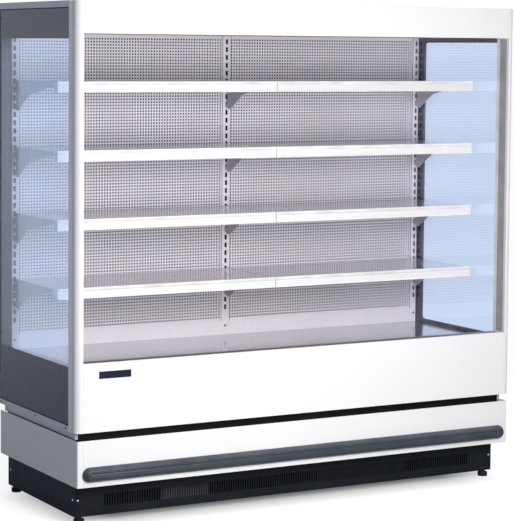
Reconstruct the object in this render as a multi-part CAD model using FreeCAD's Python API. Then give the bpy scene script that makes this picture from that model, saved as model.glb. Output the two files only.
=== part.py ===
import FreeCAD, Part
import math
import os

os.makedirs("parts", exist_ok=True)

# Open multideck display fridge, two bays wide, with its cooling machinery in the base.
# Millimetres. X runs to the right seen from the front, Y to the back, Z up from the floor.
# The origin is on the floor under the middle of the whole box.
# Depths are counted from the front plane, the face of the front panel, fascia and end posts.

# Overall body
BAY_WIDTH = 937.5            # from one column of bracket slots to the next
END_WALL = 35.0              # from the last column of slots to the outer face of the end wall
HEIGHT = 1930.0
DEPTH = 750.0                # front plane to the back of the cabinet
FLOOR_GAP = 27.0             # floor to the lower edge of the kick plates
KICK_HEIGHT = 125.0          # kick plate that shows below the lower cover
COVER_HEIGHT = 173.0         # lower cover
RECESS_HEIGHT = 29.0         # dark shadow gap between the lower cover and the cabinet
FRONT_PANEL_HEIGHT = 256.0
FASCIA_HEIGHT = 119.5
STEEL = 1.5                  # painted sheet of the cabinet
BASE_STEEL = 2.0             # sheet of the base, its kick plates and covers

# Base and its covers
RECESS_DEPTH = 45.0          # front plane to the front rail of the base
RECESS_SIDE = 28.5           # outer face of the end wall to the side rail of the base
SILL = 11.0                  # thickness of the sill strip on that rail
KICK_SETBACK = 77.0          # front plane to the front kick plate
KICK_SIDE = 32.5             # outer face of the end wall to the side kick plate
COVER_SETBACK = 4.0          # front plane to the lower front cover
COVER_SIDE = 8.5             # outer face of the end wall to the lower side cover
COVER_WRAP = 24.0            # front return of a side cover round the corner
COVER_ROUND = 6.0
COVER_REAR_GAP = 5.0         # back of the cabinet to the rear end of a side cover
COVER_SEAM = 0.3
COVER_HOOK = 6.0             # width of a cover's hook under the base rail
KICK_LAP = 18.0              # kick plate that runs up behind the lower cover
BASE_REAR_GAP = 27.0         # back of the cabinet to the back of the base
RAIL = 40.0                  # square tube of the base frame
SIDE_SHEET = 3.0             # side and rear walls of the base
SHEET_LIFT = 3.0             # lower edge of the base walls above that of the kick plates
TRAY_LIFT = 13.0             # floor of the base above the lower edge of the kick plates
VENT_END = 116.0             # end of the kick plate to the first vent slot
VENT_PITCH = 10.3
VENT_SLOT = 5.2
VENT_HEIGHT = 46.0
VENT_RISE = 32.0             # lower edge of the kick plate to the foot of the slots
CABLE_BORE = 11.0            # radius of the mains cable entry
CABLE_END = 235.0            # left side wall of the base to the middle of the cable entry
CABLE_RISE = 80.0

# Levelling feet
FOOT_PAD = 20.0              # radius of the pad
FOOT_PAD_HEIGHT = 18.0
FOOT_PAD_ROUND = 3.0
FOOT_NECK = 11.0             # radius of the adjusting collar
STUD = 5.0                   # radius of the threaded stud
STUD_LENGTH = 70.0           # above the floor of the base
RUNNING = 0.05               # radial clearance of a running fit
FREE = 0.3                   # gap between faces that only pass each other
NEAR = 0.01                  # places this close are taken as one

# Bumper rail
BUMPER_HEIGHT = 54.5
BUMPER_PROUD = 24.0          # stands out from the lower front cover
BUMPER_RISE = 20.0           # lower edge of the cover to the lower edge of the bumper
BUMPER_END = 20.0            # side cover's outer face to the end of the bumper
BUMPER_CROWN = 17.0          # half height of its flat crown
BUMPER_EDGE = 7.0            # thickness at its upper and lower edges
BUMPER_BULGE = 3.5           # roundness of the shoulders between edge and crown
BUMPER_GROOVES = 3
GROOVE_PITCH = 10.0
GROOVE_WIDTH = 3.0
GROOVE_DEPTH = 2.5

# End walls
POST_WIDTH = 30.0
POST_DEPTH = 80.0            # inner lip of the end post
POST_OUTER = 67.0            # outer lip of the end post
POST_ROUND = 27.0
POST_WALL = 2.5
GLASS_BITE = 10.0            # glazing held inside the post
FRAME_BAR = 20.0             # bottom and rear frame bars
FRAME_TOP_BAR = 24.0
GLAZING = 23.0               # thickness of the double glazing
GLAZING_INSET = 1.5          # outer face of the glass behind the outer face of the wall
PANE = 4.0
BORDER_BOTTOM = 216.0        # dark border above the bottom bar
BORDER_TOP = 113.0           # dark border below the top bar
BORDER_REAR = 84.0           # dark border in front of the rear bar
BORDER_COAT = 1.0            # dark layer on the inside of the outer pane
SPACER = 12.0                # bar that keeps the panes apart
BORDER_ROUND = 35.0

# Insulated tank, back wall and roof
FLOOR_FOAM = 45.0
FRONT_FOAM = 40.0
REAR_FOAM = 50.0
ROOF_FOAM = 65.0
DECK_DROP = 35.0             # top of the front panel down to the deck
PANEL_LIP = 12.0             # top flange of the front panel
GRILLE_DEPTH = 76.0
GRILLE_HEIGHT = 14.0
GRILLE_DROP = 6.0            # top of the front panel down to the return grille
GRILLE_PITCH = 6.4
GRILLE_SLOT = 3.8
GRILLE_RIM = 8.0
DECK_FLANGE = 22.0
LEDGE = 24.0                 # ledges that carry the deck
DECK_GAP = 1.0               # deck to its neighbours
FAN_PLATE_DEPTH = 198.0      # front plane to the plate that carries the evaporator fans

# Back panels, uprights and canopy
REAR_DUCT = 38.0             # face of the uprights to the rear liner
UPRIGHT_WIDTH = 37.0
UPRIGHT_STEEL = 2.5
PANEL_RECESS = 2.0           # face of a back panel behind the face of the uprights
PANEL_RETURN = 14.0
SLOT_PITCH = 32.3
SLOT_WIDTH = 10.5
SLOT_HEIGHT = 20.0
LOCATING_SLOTS = (9, 23)     # slots of an end column, from the lowest, with a round hole beside
LOCATING_HOLE = 5.0          # radius of such a hole
LOCATING_SHIFT = 4.5         # middle of the slot to the middle of the hole
FIRST_SLOT = 115.0           # deck to the middle of the lowest slot
SLOT_HEADROOM = 12.0         # least metal between the top slot and the soffit
CANOPY_LIP = 60.0            # lower flange of the fascia
HONEYCOMB_DEPTH = 70.0
HONEYCOMB_HEIGHT = 28.0
CELL_PITCH = 15.0
CELL_GAP = 12.0
CELL_RIM = 6.0
CELL_ROWS = 4

# Shelves and their brackets
SHELF_LEVELS = 4
LOWEST_SHELF_SLOT = 4
SLOTS_PER_LEVEL = 8
SHELF_ABOVE_SLOT = 38.8      # middle of the hooked slot to the top of the ticket rail
SHELF_DEPTH = 417.0          # ticket rail to the rear edge
SHELF_REAR_GAP = 4.0         # rear edge of a shelf to the face of the uprights
SHELF_JOINT = 2.0            # gap between the two shelves of a level
SHELF_OVERHANG = 1.8         # outer end of a shelf beyond the last column of slots
RAIL_HEIGHT = 42.0           # ticket rail
RAIL_THICK = 5.0
RAIL_LIP = 11.0              # upper lip above the label strip
LABEL_RECESS = 1.5
LABEL_FOOT = 4.0             # lower lip that holds the label strip
NOSE_DEPTH = 43.0            # end caps of the ticket rail
NOSE_HOLLOW = 6.0
CAP_THICK = 2.0
PAN_DROP = 3.0               # shelf surface below the top of the ticket rail
PAN_FLANGE = 20.0
BRACKET_THICK = 3.0
BRACKET_GAP = 0.6            # bracket to the middle of the centre slot
ARM_TIP = 11.0               # height of a bracket at its front end
ARM_DEPTH = 56.0             # height at the knee, where the arm meets the heel
HEEL_DEPTH = 118.0           # height at the toe of the heel
HEEL_LENGTH = 132.0          # upright to the knee
HEEL_TOE = 32.0              # upright to the toe
HEEL_RISE = 8.0              # toe up to the foot of the rear edge
KNEE_ROUND = 40.0
TOE_ROUND = 12.0
REAR_NOTCH = 12.0            # depth of the notch in the rear edge
NOTCH_MARGIN = 4.0           # notch to the hooks above and below it
HOOK_HEIGHT = 12.0
HOOK_REACH = 4.0
HOOK_DROP = 7.0

# Cooling machinery
COIL_ROOM = 124.0            # side rail of the base to the coil, with the pipe bends
COIL_FRONT = 260.0
COIL_DEPTH = 240.0
COIL_CLEAR = 16.0            # fins above the tank floor
COIL_HEIGHT = 130.0
COIL_BENDS = 4
BEND_TUBE = 6.0
EVAP_FAN = 76.0              # blade tip radius
EVAP_HUB = 27.0
FAN_TIP_GAP = 4.0
CONDENSER_LEFT = 130.0
CONDENSER_WIDTH = 400.0
CONDENSER_FRONT = 125.0
CONDENSER_DEPTH = 50.0
CONDENSER_HEIGHT = 250.0
SHROUD_DEPTH = 40.0
CONDENSER_FAN = 90.0
CONDENSER_HUB = 32.0
FAN_WIDTH = 22.0             # along the axis
BLADES = 5
BLADE_CHORD = 31.0
BLADE_ANGLE = 35.0
BLADE_ROOT = 5.0             # blade sunk into the hub
SHAFT = 4.0
SHAFT_BITE = 25.0            # shaft held in its motor
MOTOR = 34.0
MOTOR_LENGTH = 55.0
MOTOR_GAP = 6.0
PEDESTAL = 40.0              # square stand under a fan motor
COMPRESSOR_X = -120.0
COMPRESSOR_DEPTH = 400.0     # front plane to its axis
COMPRESSOR_R = 90.0
COMPRESSOR_HEIGHT = 205.0
COMPRESSOR_DOME = 55.0
MOUNT_PLATE = 230.0
GROMMET = 12.0
STUB_SPACING = 60.0
STUB_HEIGHT = 13.0
SUCTION = 8.0                # pipe radii
LIQUID = 5.0
PIPE_BEND = 20.0
PIPE_HOLE_GAP = 2.0
LINE_GAP = 18.0              # upper pipe runs below the tank
BOX_X = -560.0               # electrical box
BOX_WIDTH = 200.0
BOX_HEIGHT = 180.0
PAN_X = 230.0                # condensate tray
PAN_WIDTH = 380.0
PAN_DEPTH = 220.0
PAN_HEIGHT = 50.0
DRAIN = 16.0
DRAIN_WALL = 2.0

# Small parts
SCREW_HEAD = 4.5
SCREW_HEAD_HEIGHT = 2.2
SCREW_SHANK = 2.0
SCREW_LENGTH = 9.0
SCREW_GAP = 0.2
SCREW_EDGE = 11.0
PLATE_END = 62.5             # left end post to the blank name plate
PLATE_WIDTH = 130.0
PLATE_HEIGHT = 27.0
PLATE_THICK = 1.5
PLATE_DROP = 45.5            # top of the front panel to the middle of the plate

# Places that follow from the sizes
HALF_WIDTH = BAY_WIDTH + END_WALL
COVER_BOTTOM = FLOOR_GAP + KICK_HEIGHT
COVER_TOP = COVER_BOTTOM + COVER_HEIGHT
CABINET_BOTTOM = COVER_TOP + RECESS_HEIGHT
PANEL_TOP = CABINET_BOTTOM + FRONT_PANEL_HEIGHT
TANK_FLOOR = CABINET_BOTTOM + FLOOR_FOAM
DECK = PANEL_TOP - DECK_DROP
LEDGE_TOP = DECK - STEEL
GRILLE_TOP = PANEL_TOP - GRILLE_DROP
GRILLE_SEAT = GRILLE_TOP - GRILLE_HEIGHT
GRILLE_REAR = PANEL_LIP + GRILLE_DEPTH
CANOPY = HEIGHT - FASCIA_HEIGHT
SOFFIT = CANOPY + STEEL
ROOF_BOTTOM = HEIGHT - ROOF_FOAM
INNER_POST = HALF_WIDTH - POST_WIDTH
INNER_WALL = HALF_WIDTH - GLAZING_INSET - GLAZING
REAR_LINER = DEPTH - REAR_FOAM
UPRIGHT_DEPTH = REAR_LINER - REAR_DUCT
GLASS_FRONT = POST_OUTER - GLASS_BITE
GLASS_BOTTOM = CABINET_BOTTOM + FRAME_BAR
GLASS_TOP = HEIGHT - FRAME_TOP_BAR
GLASS_REAR = DEPTH - FRAME_BAR
BASE_HALF = HALF_WIDTH - RECESS_SIDE
KICK_HALF = HALF_WIDTH - KICK_SIDE
BASE_WALL = KICK_HALF - BASE_STEEL
BASE_INNER = BASE_WALL - SIDE_SHEET
VENT_HALF = KICK_HALF - VENT_END
CABLE_X = CABLE_END - BASE_INNER
BASE_BOTTOM = FLOOR_GAP + SHEET_LIFT
BASE_REAR = DEPTH - BASE_REAR_GAP
BASE_FLOOR = FLOOR_GAP + TRAY_LIFT + BASE_STEEL
KICK_BACK = KICK_SETBACK + BASE_STEEL
KICK_TOP = COVER_BOTTOM + KICK_LAP
RAIL_BOTTOM = CABINET_BOTTOM - RAIL
COVER_HALF = HALF_WIDTH - COVER_SIDE
COVER_BACK = COVER_SETBACK + BASE_STEEL
COVER_REAR = DEPTH - COVER_REAR_GAP
LEG_X = BASE_INNER - RAIL / 2
LEG_FRONT = KICK_BACK + RAIL / 2
LEG_REAR = BASE_REAR - SIDE_SHEET - RAIL / 2
BUMPER_R = BUMPER_HEIGHT / 2
BUMPER_Z = COVER_BOTTOM + BUMPER_RISE + BUMPER_R
BUMPER_HALF = COVER_HALF - BUMPER_END - BUMPER_R
FAN_Z = (TANK_FLOOR + LEDGE_TOP) / 2
FAN_X = BAY_WIDTH / 2
PANEL_FACE = UPRIGHT_DEPTH + PANEL_RECESS
SHELF_REAR = UPRIGHT_DEPTH - SHELF_REAR_GAP
SHELF_SETBACK = SHELF_REAR - SHELF_DEPTH
COIL_HALF = BASE_HALF - RAIL - COIL_ROOM
PLATE_X = PLATE_END + PLATE_WIDTH / 2 - INNER_POST
CONDENSER_X = CONDENSER_LEFT + CONDENSER_WIDTH / 2
CONDENSER_Z = BASE_FLOOR + CONDENSER_HEIGHT / 2
CONDENSER_BACK = CONDENSER_FRONT + CONDENSER_DEPTH
SHROUD_BACK = CONDENSER_BACK + SHROUD_DEPTH
LINE_Z = CABINET_BOTTOM - LINE_GAP
BUMPER_REACH = BUMPER_PROUD - COVER_SETBACK
FRONT = BUMPER_REACH - (DEPTH + BUMPER_REACH) / 2
X_AXIS = FreeCAD.Vector(1, 0, 0)
Y_AXIS = FreeCAD.Vector(0, 1, 0)
Z_AXIS = FreeCAD.Vector(0, 0, 1)


def at(x, depth, z):
    """A point from its depth behind the front plane."""
    return FreeCAD.Vector(x, FRONT + depth, z)


def block(x0, x1, depth0, depth1, z0, z1):
    return Part.makeBox(x1 - x0, depth1 - depth0, z1 - z0, at(x0, depth0, z0))


def rod(x, depth, z, radius, length, axis):
    return Part.makeCylinder(radius, length, at(x, depth, z), axis)


def mirrored(shape):
    """The same piece on the other side of the cabinet."""
    return shape.mirror(FreeCAD.Vector(0, 0, 0), X_AXIS)


def side_prism(outline, x0, x1):
    """An outline of (depth, z) points drawn from the side, as thick as x0 to x1."""
    points = [at(x0, depth, z) for depth, z in outline]
    face = Part.Face(Part.makePolygon(points + points[:1]))
    return face.extrude(FreeCAD.Vector(x1 - x0, 0, 0))


def holed_plate(corner, along, across, thickness, holes):
    """A flat plate with a row of rectangular holes, each (start, width, side start, side width)."""
    def loop(u0, u1, v0, v1):
        ends = [(u0, v0), (u1, v0), (u1, v1), (u0, v1), (u0, v0)]
        return Part.makePolygon([corner + along[0] * u + across[0] * v for u, v in ends])
    outer = loop(0, along[1], 0, across[1])
    wires = [loop(u, u + du, v + dv, v) for u, du, v, dv in holes]
    face = Part.Face([outer] + wires)
    return face.extrude(thickness)


def rounded_at(shape, radius, x, depth):
    """Round the upright edges of a shape that stand at one place."""
    edges = []
    for edge in shape.Edges:
        middle = edge.CenterOfMass
        here = abs(middle.x - x) < NEAR and abs(middle.y - FRONT - depth) < NEAR
        if here and edge.BoundBox.ZLength > radius:
            edges.append(edge)
    return shape.makeFillet(radius, edges)


def tube(route, radius, bend):
    """A pipe along straight runs with a tangent bend at each corner."""
    edges = []
    start = route[0]
    for before, corner, after in zip(route, route[1:], route[2:]):
        back = (before - corner).normalize()
        ahead = (after - corner).normalize()
        half = math.acos(back.dot(ahead)) / 2
        entry = corner + back * (bend / math.tan(half))
        leave = corner + ahead * (bend / math.tan(half))
        inward = (back + ahead).normalize()
        middle = corner + inward * (bend / math.sin(half) - bend)
        edges.append(Part.LineSegment(start, entry).toShape())
        edges.append(Part.Arc(entry, middle, leave).toShape())
        start = leave
    edges.append(Part.LineSegment(start, route[-1]).toShape())
    spine = Part.Wire(edges)
    direction = (route[1] - route[0]).normalize()
    circle = Part.Wire([Part.Circle(route[0], direction, radius).toShape()])
    return spine.makePipeShell([circle], True, False)


def save(name, solids):
    """Write one piece, or a group of like pieces, as a STEP file."""
    shape = solids[0] if len(solids) == 1 else Part.makeCompound(solids)
    shape.exportStep("parts/" + name + ".step")
    print(name, len(shape.Solids), shape.isValid())


# Screws: pan heads on the kick plates and on the bottom bars of the end walls.

def screw_places():
    """Each screw's head seat and the direction its head faces."""
    places = []
    z = (FLOOR_GAP + COVER_BOTTOM) / 2
    bar_z = CABINET_BOTTOM + FRAME_BAR / 2
    for side in (-1, 1):
        places.append((at(side * (KICK_HALF - SCREW_EDGE), KICK_SETBACK, z), Y_AXIS * -1))
        for depth in (LEG_FRONT, LEG_REAR):
            places.append((at(side * KICK_HALF, depth, z), X_AXIS * side))
        for depth in (POST_DEPTH + SCREW_EDGE, DEPTH / 2, GLASS_REAR - SCREW_EDGE):
            places.append((at(side * HALF_WIDTH, depth, bar_z), X_AXIS * side))
    return places


def screw_holes():
    holes = []
    for seat, outward in screw_places():
        length = SCREW_LENGTH + SCREW_GAP
        holes.append(Part.makeCylinder(SCREW_SHANK + SCREW_GAP, length, seat, outward * -1))
    return Part.makeCompound(holes)


def cover_screws():
    screws = []
    for seat, outward in screw_places():
        head = Part.makeCylinder(SCREW_HEAD, SCREW_HEAD_HEIGHT, seat, outward)
        crown = seat + outward * SCREW_HEAD_HEIGHT
        rims = [edge for edge in head.Edges if (edge.CenterOfMass - crown).Length < NEAR]
        head = head.makeFillet(SCREW_HEAD_HEIGHT / 2, rims)
        shank = Part.makeCylinder(SCREW_SHANK, SCREW_LENGTH, seat, outward * -1)
        screws.append(head.fuse(shank))
    return screws


# Base: a frame of square tube and sheet that carries the tank and holds the machinery.

def foot_places():
    return [(side * LEG_X, depth) for depth in (LEG_FRONT, LEG_REAR) for side in (-1, 1)]


def base_frame():
    tray = block(-BASE_INNER, BASE_INNER, KICK_BACK, BASE_REAR - SIDE_SHEET,
                 BASE_FLOOR - BASE_STEEL, BASE_FLOOR)
    rear = block(-BASE_INNER, BASE_INNER, BASE_REAR - SIDE_SHEET, BASE_REAR,
                 BASE_BOTTOM, RAIL_BOTTOM)
    rear = rear.cut(rod(CABLE_X, BASE_REAR - SIDE_SHEET, BASE_FLOOR + CABLE_RISE,
                        CABLE_BORE, SIDE_SHEET, Y_AXIS))
    side = block(BASE_INNER, BASE_WALL, KICK_BACK, BASE_REAR, BASE_BOTTOM, RAIL_BOTTOM)
    side_rail = block(BASE_HALF - RAIL, BASE_HALF, RECESS_DEPTH, BASE_REAR,
                      RAIL_BOTTOM, CABINET_BOTTOM)
    inner = BASE_HALF - RAIL
    front_rail = block(-inner, inner, RECESS_DEPTH, RECESS_DEPTH + RAIL,
                       RAIL_BOTTOM, CABINET_BOTTOM)
    rear_rail = block(-inner, inner, BASE_REAR - RAIL, BASE_REAR, RAIL_BOTTOM, CABINET_BOTTOM)
    legs = []
    for x, depth in foot_places():
        leg = block(x - RAIL / 2, x + RAIL / 2, depth - RAIL / 2, depth + RAIL / 2,
                    BASE_FLOOR, RAIL_BOTTOM)
        bore = rod(x, depth, BASE_FLOOR, STUD + RUNNING, STUD_LENGTH + FREE, Z_AXIS)
        legs.append(leg.cut(bore).cut(screw_holes()))
        tray = tray.cut(rod(x, depth, BASE_FLOOR - BASE_STEEL, STUD + FREE, BASE_STEEL, Z_AXIS))
    sides = [side.cut(screw_holes()), mirrored(side).cut(screw_holes())]
    rails = [side_rail, mirrored(side_rail), front_rail, rear_rail]
    return [tray, rear] + sides + rails + legs


def kick_plate_front():
    corner = at(-KICK_HALF, KICK_SETBACK, FLOOR_GAP)
    count = int(2 * VENT_HALF / VENT_PITCH)
    first = KICK_HALF - (count - 1) * VENT_PITCH / 2 - VENT_SLOT / 2
    holes = [(first + i * VENT_PITCH, VENT_SLOT, VENT_RISE, VENT_HEIGHT) for i in range(count)]
    plate = holed_plate(corner, (X_AXIS, 2 * KICK_HALF), (Z_AXIS, KICK_TOP - FLOOR_GAP),
                        Y_AXIS * BASE_STEEL, holes)
    return plate.cut(screw_holes())


def kick_plate_side():
    plate = block(BASE_WALL, KICK_HALF, KICK_BACK, BASE_REAR, FLOOR_GAP, KICK_TOP)
    return plate.cut(screw_holes())


def lower_front_cover():
    """Flat cover with a flange to the kick plate and a hook flange under the front rail."""
    half = COVER_HALF - COVER_WRAP - COVER_SEAM
    sheet = block(-half, half, COVER_SETBACK, COVER_BACK, COVER_BOTTOM, COVER_TOP)
    flange = block(-half, half, COVER_BACK, KICK_SETBACK, COVER_BOTTOM, COVER_BOTTOM + BASE_STEEL)
    hook = block(-BASE_INNER, BASE_INNER, COVER_BACK, RECESS_DEPTH + COVER_HOOK,
                 RAIL_BOTTOM - BASE_STEEL, RAIL_BOTTOM)
    return sheet.fuse([flange, hook]).removeSplitter()


def lower_side_cover():
    """Side cover that wraps round the front corner."""
    side = block(COVER_HALF - BASE_STEEL, COVER_HALF, COVER_SETBACK, COVER_REAR,
                 COVER_BOTTOM, COVER_TOP)
    front = block(COVER_HALF - COVER_WRAP, COVER_HALF, COVER_SETBACK, COVER_BACK,
                  COVER_BOTTOM, COVER_TOP)
    shell = side.fuse(front).removeSplitter()
    shell = rounded_at(shell, COVER_ROUND, COVER_HALF, COVER_SETBACK)
    inner_round = COVER_ROUND - BASE_STEEL
    shell = rounded_at(shell, inner_round, COVER_HALF - BASE_STEEL, COVER_BACK)
    inside = COVER_HALF - BASE_STEEL / 2
    flange = block(KICK_HALF, inside, COVER_BACK + inner_round, BASE_REAR,
                   COVER_BOTTOM, COVER_BOTTOM + BASE_STEEL)
    hook = block(BASE_HALF - COVER_HOOK, inside, RECESS_DEPTH, BASE_REAR,
                 RAIL_BOTTOM - BASE_STEEL, RAIL_BOTTOM)
    return shell.fuse([flange, hook]).removeSplitter()


def foot(x, depth):
    """Pad, adjusting collar and threaded stud of one levelling foot."""
    collar_top = BASE_FLOOR - BASE_STEEL - FREE
    pad = rod(x, depth, 0, FOOT_PAD, FOOT_PAD_HEIGHT, Z_AXIS)
    rims = [edge for edge in pad.Edges if abs(edge.BoundBox.ZMin - FOOT_PAD_HEIGHT) < NEAR]
    pad = pad.makeFillet(FOOT_PAD_ROUND, rims)
    collar = rod(x, depth, FOOT_PAD_HEIGHT, FOOT_NECK, collar_top - FOOT_PAD_HEIGHT, Z_AXIS)
    stud = rod(x, depth, collar_top, STUD, BASE_FLOOR + STUD_LENGTH - collar_top, Z_AXIS)
    return pad.fuse([collar, stud])


def bumper_half(x):
    """Upper half of the bumper's section, its back on the lower cover."""
    def place(out, up):
        return at(x, COVER_SETBACK - out, BUMPER_Z + up)
    run = BUMPER_PROUD - BUMPER_EDGE
    drop = BUMPER_R - BUMPER_CROWN
    chord = math.hypot(run, drop)
    bulge = place(BUMPER_EDGE + run / 2 + BUMPER_BULGE * drop / chord,
                  BUMPER_CROWN + drop / 2 + BUMPER_BULGE * run / chord)
    edge = place(BUMPER_EDGE, BUMPER_R)
    crown = place(BUMPER_PROUD, BUMPER_CROWN)
    shoulder = Part.Arc(edge, bulge, crown).toShape()
    straight = [crown, place(BUMPER_PROUD, 0), place(0, 0), place(0, BUMPER_R), edge]
    return Part.Face(Part.Wire([shoulder] + Part.makePolygon(straight).Edges))


def bumper():
    """Grooved rail with a rounded cap at each end."""
    upper = bumper_half(-BUMPER_HALF).extrude(X_AXIS * (2 * BUMPER_HALF))
    lower = upper.mirror(at(0, 0, BUMPER_Z), Z_AXIS)
    rail = upper.fuse(lower).removeSplitter()
    crown = COVER_SETBACK - BUMPER_PROUD
    first = BUMPER_Z - (BUMPER_GROOVES - 1) * GROOVE_PITCH / 2
    for i in range(BUMPER_GROOVES):
        z = first + i * GROOVE_PITCH
        groove = block(-BUMPER_HALF, BUMPER_HALF, crown, crown + GROOVE_DEPTH,
                       z - GROOVE_WIDTH / 2, z + GROOVE_WIDTH / 2)
        rail = rail.cut(groove)
    centre = at(BUMPER_HALF, COVER_SETBACK, BUMPER_Z)
    cap = bumper_half(BUMPER_HALF).revolve(centre, Y_AXIS, 180)
    return [rail, cap, mirrored(cap)]


# Cabinet body: insulated floor, front wall, rear wall and roof between the two end walls.

def post_notches():
    """Room for both end posts at the front corners of the body."""
    notch = block(INNER_POST, HALF_WIDTH, 0, POST_DEPTH, 0, HEIGHT)
    return [notch, mirrored(notch)]


def pipe_route_suction():
    x = -COIL_HALF - STEEL
    turn = x - 2 * PIPE_BEND - SUCTION
    depth = COMPRESSOR_DEPTH
    z = TANK_FLOOR + COIL_CLEAR + COIL_HEIGHT / 4
    start = at(COMPRESSOR_X, depth, compressor_top() + STUB_HEIGHT)
    under = LINE_Z - SUCTION
    return [start, at(COMPRESSOR_X, depth, under), at(turn, depth, under),
            at(turn, depth, z), at(x, depth, z)]


def pipe_route_liquid():
    x = -COIL_HALF - STEEL
    turn = x - 3 * PIPE_BEND - SUCTION
    depth = COMPRESSOR_DEPTH + 2 * PIPE_BEND
    z = TANK_FLOOR + COIL_CLEAR + COIL_HEIGHT * 3 / 4
    side = CONDENSER_LEFT - STEEL
    away = side - 3 * PIPE_BEND
    low = BASE_FLOOR + CONDENSER_HEIGHT * 3 / 4
    middle = (CONDENSER_FRONT + CONDENSER_BACK) / 2
    return [at(side, middle, low), at(away, middle, low), at(away, middle, LINE_Z),
            at(away, depth, LINE_Z), at(turn, depth, LINE_Z), at(turn, depth, z), at(x, depth, z)]


def pipe_route_discharge():
    x = COMPRESSOR_X + STUB_SPACING
    depth = COMPRESSOR_DEPTH
    start = at(x, depth, compressor_top() + STUB_HEIGHT)
    run = start + Z_AXIS * (PIPE_BEND + LIQUID)
    side = CONDENSER_LEFT + CONDENSER_WIDTH + STEEL
    away = side + 3 * PIPE_BEND
    low = BASE_FLOOR + CONDENSER_HEIGHT * 3 / 4
    middle = (CONDENSER_FRONT + CONDENSER_BACK) / 2
    return [start, run, at(away, depth, run.z), at(away, middle, run.z),
            at(away, middle, low), at(side, middle, low)]


def refrigerant_pipes():
    return [tube(pipe_route_suction(), SUCTION, PIPE_BEND),
            tube(pipe_route_liquid(), LIQUID, PIPE_BEND),
            tube(pipe_route_discharge(), LIQUID, PIPE_BEND)]


def tank_floor():
    floor = block(-INNER_WALL, INNER_WALL, STEEL, DEPTH, CABINET_BOTTOM, TANK_FLOOR)
    floor = floor.cut(post_notches())
    for route, radius in ((pipe_route_suction(), SUCTION), (pipe_route_liquid(), LIQUID)):
        riser = route[-2]
        hole = Part.makeCylinder(radius + PIPE_HOLE_GAP, FLOOR_FOAM,
                                 FreeCAD.Vector(riser.x, riser.y, CABINET_BOTTOM), Z_AXIS)
        floor = floor.cut(hole)
    return floor.cut(rod(drain_x(), drain_depth(), CABINET_BOTTOM, DRAIN, FLOOR_FOAM, Z_AXIS))


def tank_front_wall():
    return block(-INNER_POST, INNER_POST, STEEL, STEEL + FRONT_FOAM, TANK_FLOOR, GRILLE_SEAT)


def front_panel():
    half = INNER_POST - COVER_SEAM
    sheet = block(-half, half, 0, STEEL, CABINET_BOTTOM, PANEL_TOP)
    lip = block(-half, half, 0, PANEL_LIP - FREE, PANEL_TOP - STEEL, PANEL_TOP)
    turn = block(-half, half, PANEL_LIP - FREE - STEEL, PANEL_LIP - FREE, GRILLE_SEAT, PANEL_TOP)
    return sheet.fuse([lip, turn]).removeSplitter()


def rear_wall():
    return block(-INNER_WALL, INNER_WALL, REAR_LINER, DEPTH, TANK_FLOOR, ROOF_BOTTOM)


def roof_body():
    roof = block(-INNER_WALL, INNER_WALL, STEEL, DEPTH, ROOF_BOTTOM, HEIGHT)
    return roof.cut(post_notches())


def fascia():
    half = INNER_POST - COVER_SEAM
    sheet = block(-half, half, 0, STEEL, CANOPY, HEIGHT)
    flange = block(-half, half, 0, CANOPY_LIP, CANOPY, SOFFIT)
    turn = block(-half, half, CANOPY_LIP - STEEL, CANOPY_LIP, CANOPY, SOFFIT + HONEYCOMB_HEIGHT)
    return sheet.fuse([flange, turn]).removeSplitter()


def name_plate():
    z = PANEL_TOP - PLATE_DROP
    return block(PLATE_X - PLATE_WIDTH / 2, PLATE_X + PLATE_WIDTH / 2, -PLATE_THICK, 0,
                 z - PLATE_HEIGHT / 2, z + PLATE_HEIGHT / 2)


# End walls: a rounded front post, three frame bars and double glazing with a dark border.

def end_post():
    post = block(INNER_POST, HALF_WIDTH, 0, POST_DEPTH, CABINET_BOTTOM, HEIGHT)
    post = rounded_at(post, POST_ROUND, HALF_WIDTH, 0)
    outer = block(INNER_WALL, HALF_WIDTH, POST_OUTER, POST_DEPTH, CABINET_BOTTOM, HEIGHT)
    channel = block(INNER_WALL, HALF_WIDTH - GLAZING_INSET, GLASS_FRONT, POST_DEPTH,
                    CABINET_BOTTOM, HEIGHT)
    hollow = block(INNER_POST + POST_WALL, HALF_WIDTH - POST_WALL, POST_WALL,
                   GLASS_FRONT - POST_WALL, CABINET_BOTTOM, HEIGHT)
    hollow = rounded_at(hollow, POST_ROUND - POST_WALL, HALF_WIDTH - POST_WALL, POST_WALL)
    return post.cut([outer, channel, hollow])


def end_frame():
    """Bottom, top and rear bars round the glazing of one end wall, and the sill strip below."""
    bottom = block(INNER_WALL, HALF_WIDTH, POST_OUTER, DEPTH, CABINET_BOTTOM, GLASS_BOTTOM)
    top = block(INNER_WALL, HALF_WIDTH, POST_OUTER, DEPTH, GLASS_TOP, HEIGHT)
    rear = block(INNER_WALL, HALF_WIDTH, GLASS_REAR, DEPTH, GLASS_BOTTOM, GLASS_TOP)
    sill = block(BASE_HALF, BASE_HALF + SILL, RECESS_DEPTH, BASE_REAR, COVER_TOP, CABINET_BOTTOM)
    return [bottom.cut(screw_holes()), top, rear, sill]


def end_glass():
    """Outer and inner pane."""
    outer = HALF_WIDTH - GLAZING_INSET
    panes = []
    for x in (INNER_WALL, outer - PANE):
        panes.append(block(x, x + PANE, GLASS_FRONT, GLASS_REAR, GLASS_BOTTOM, GLASS_TOP))
    return panes


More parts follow.
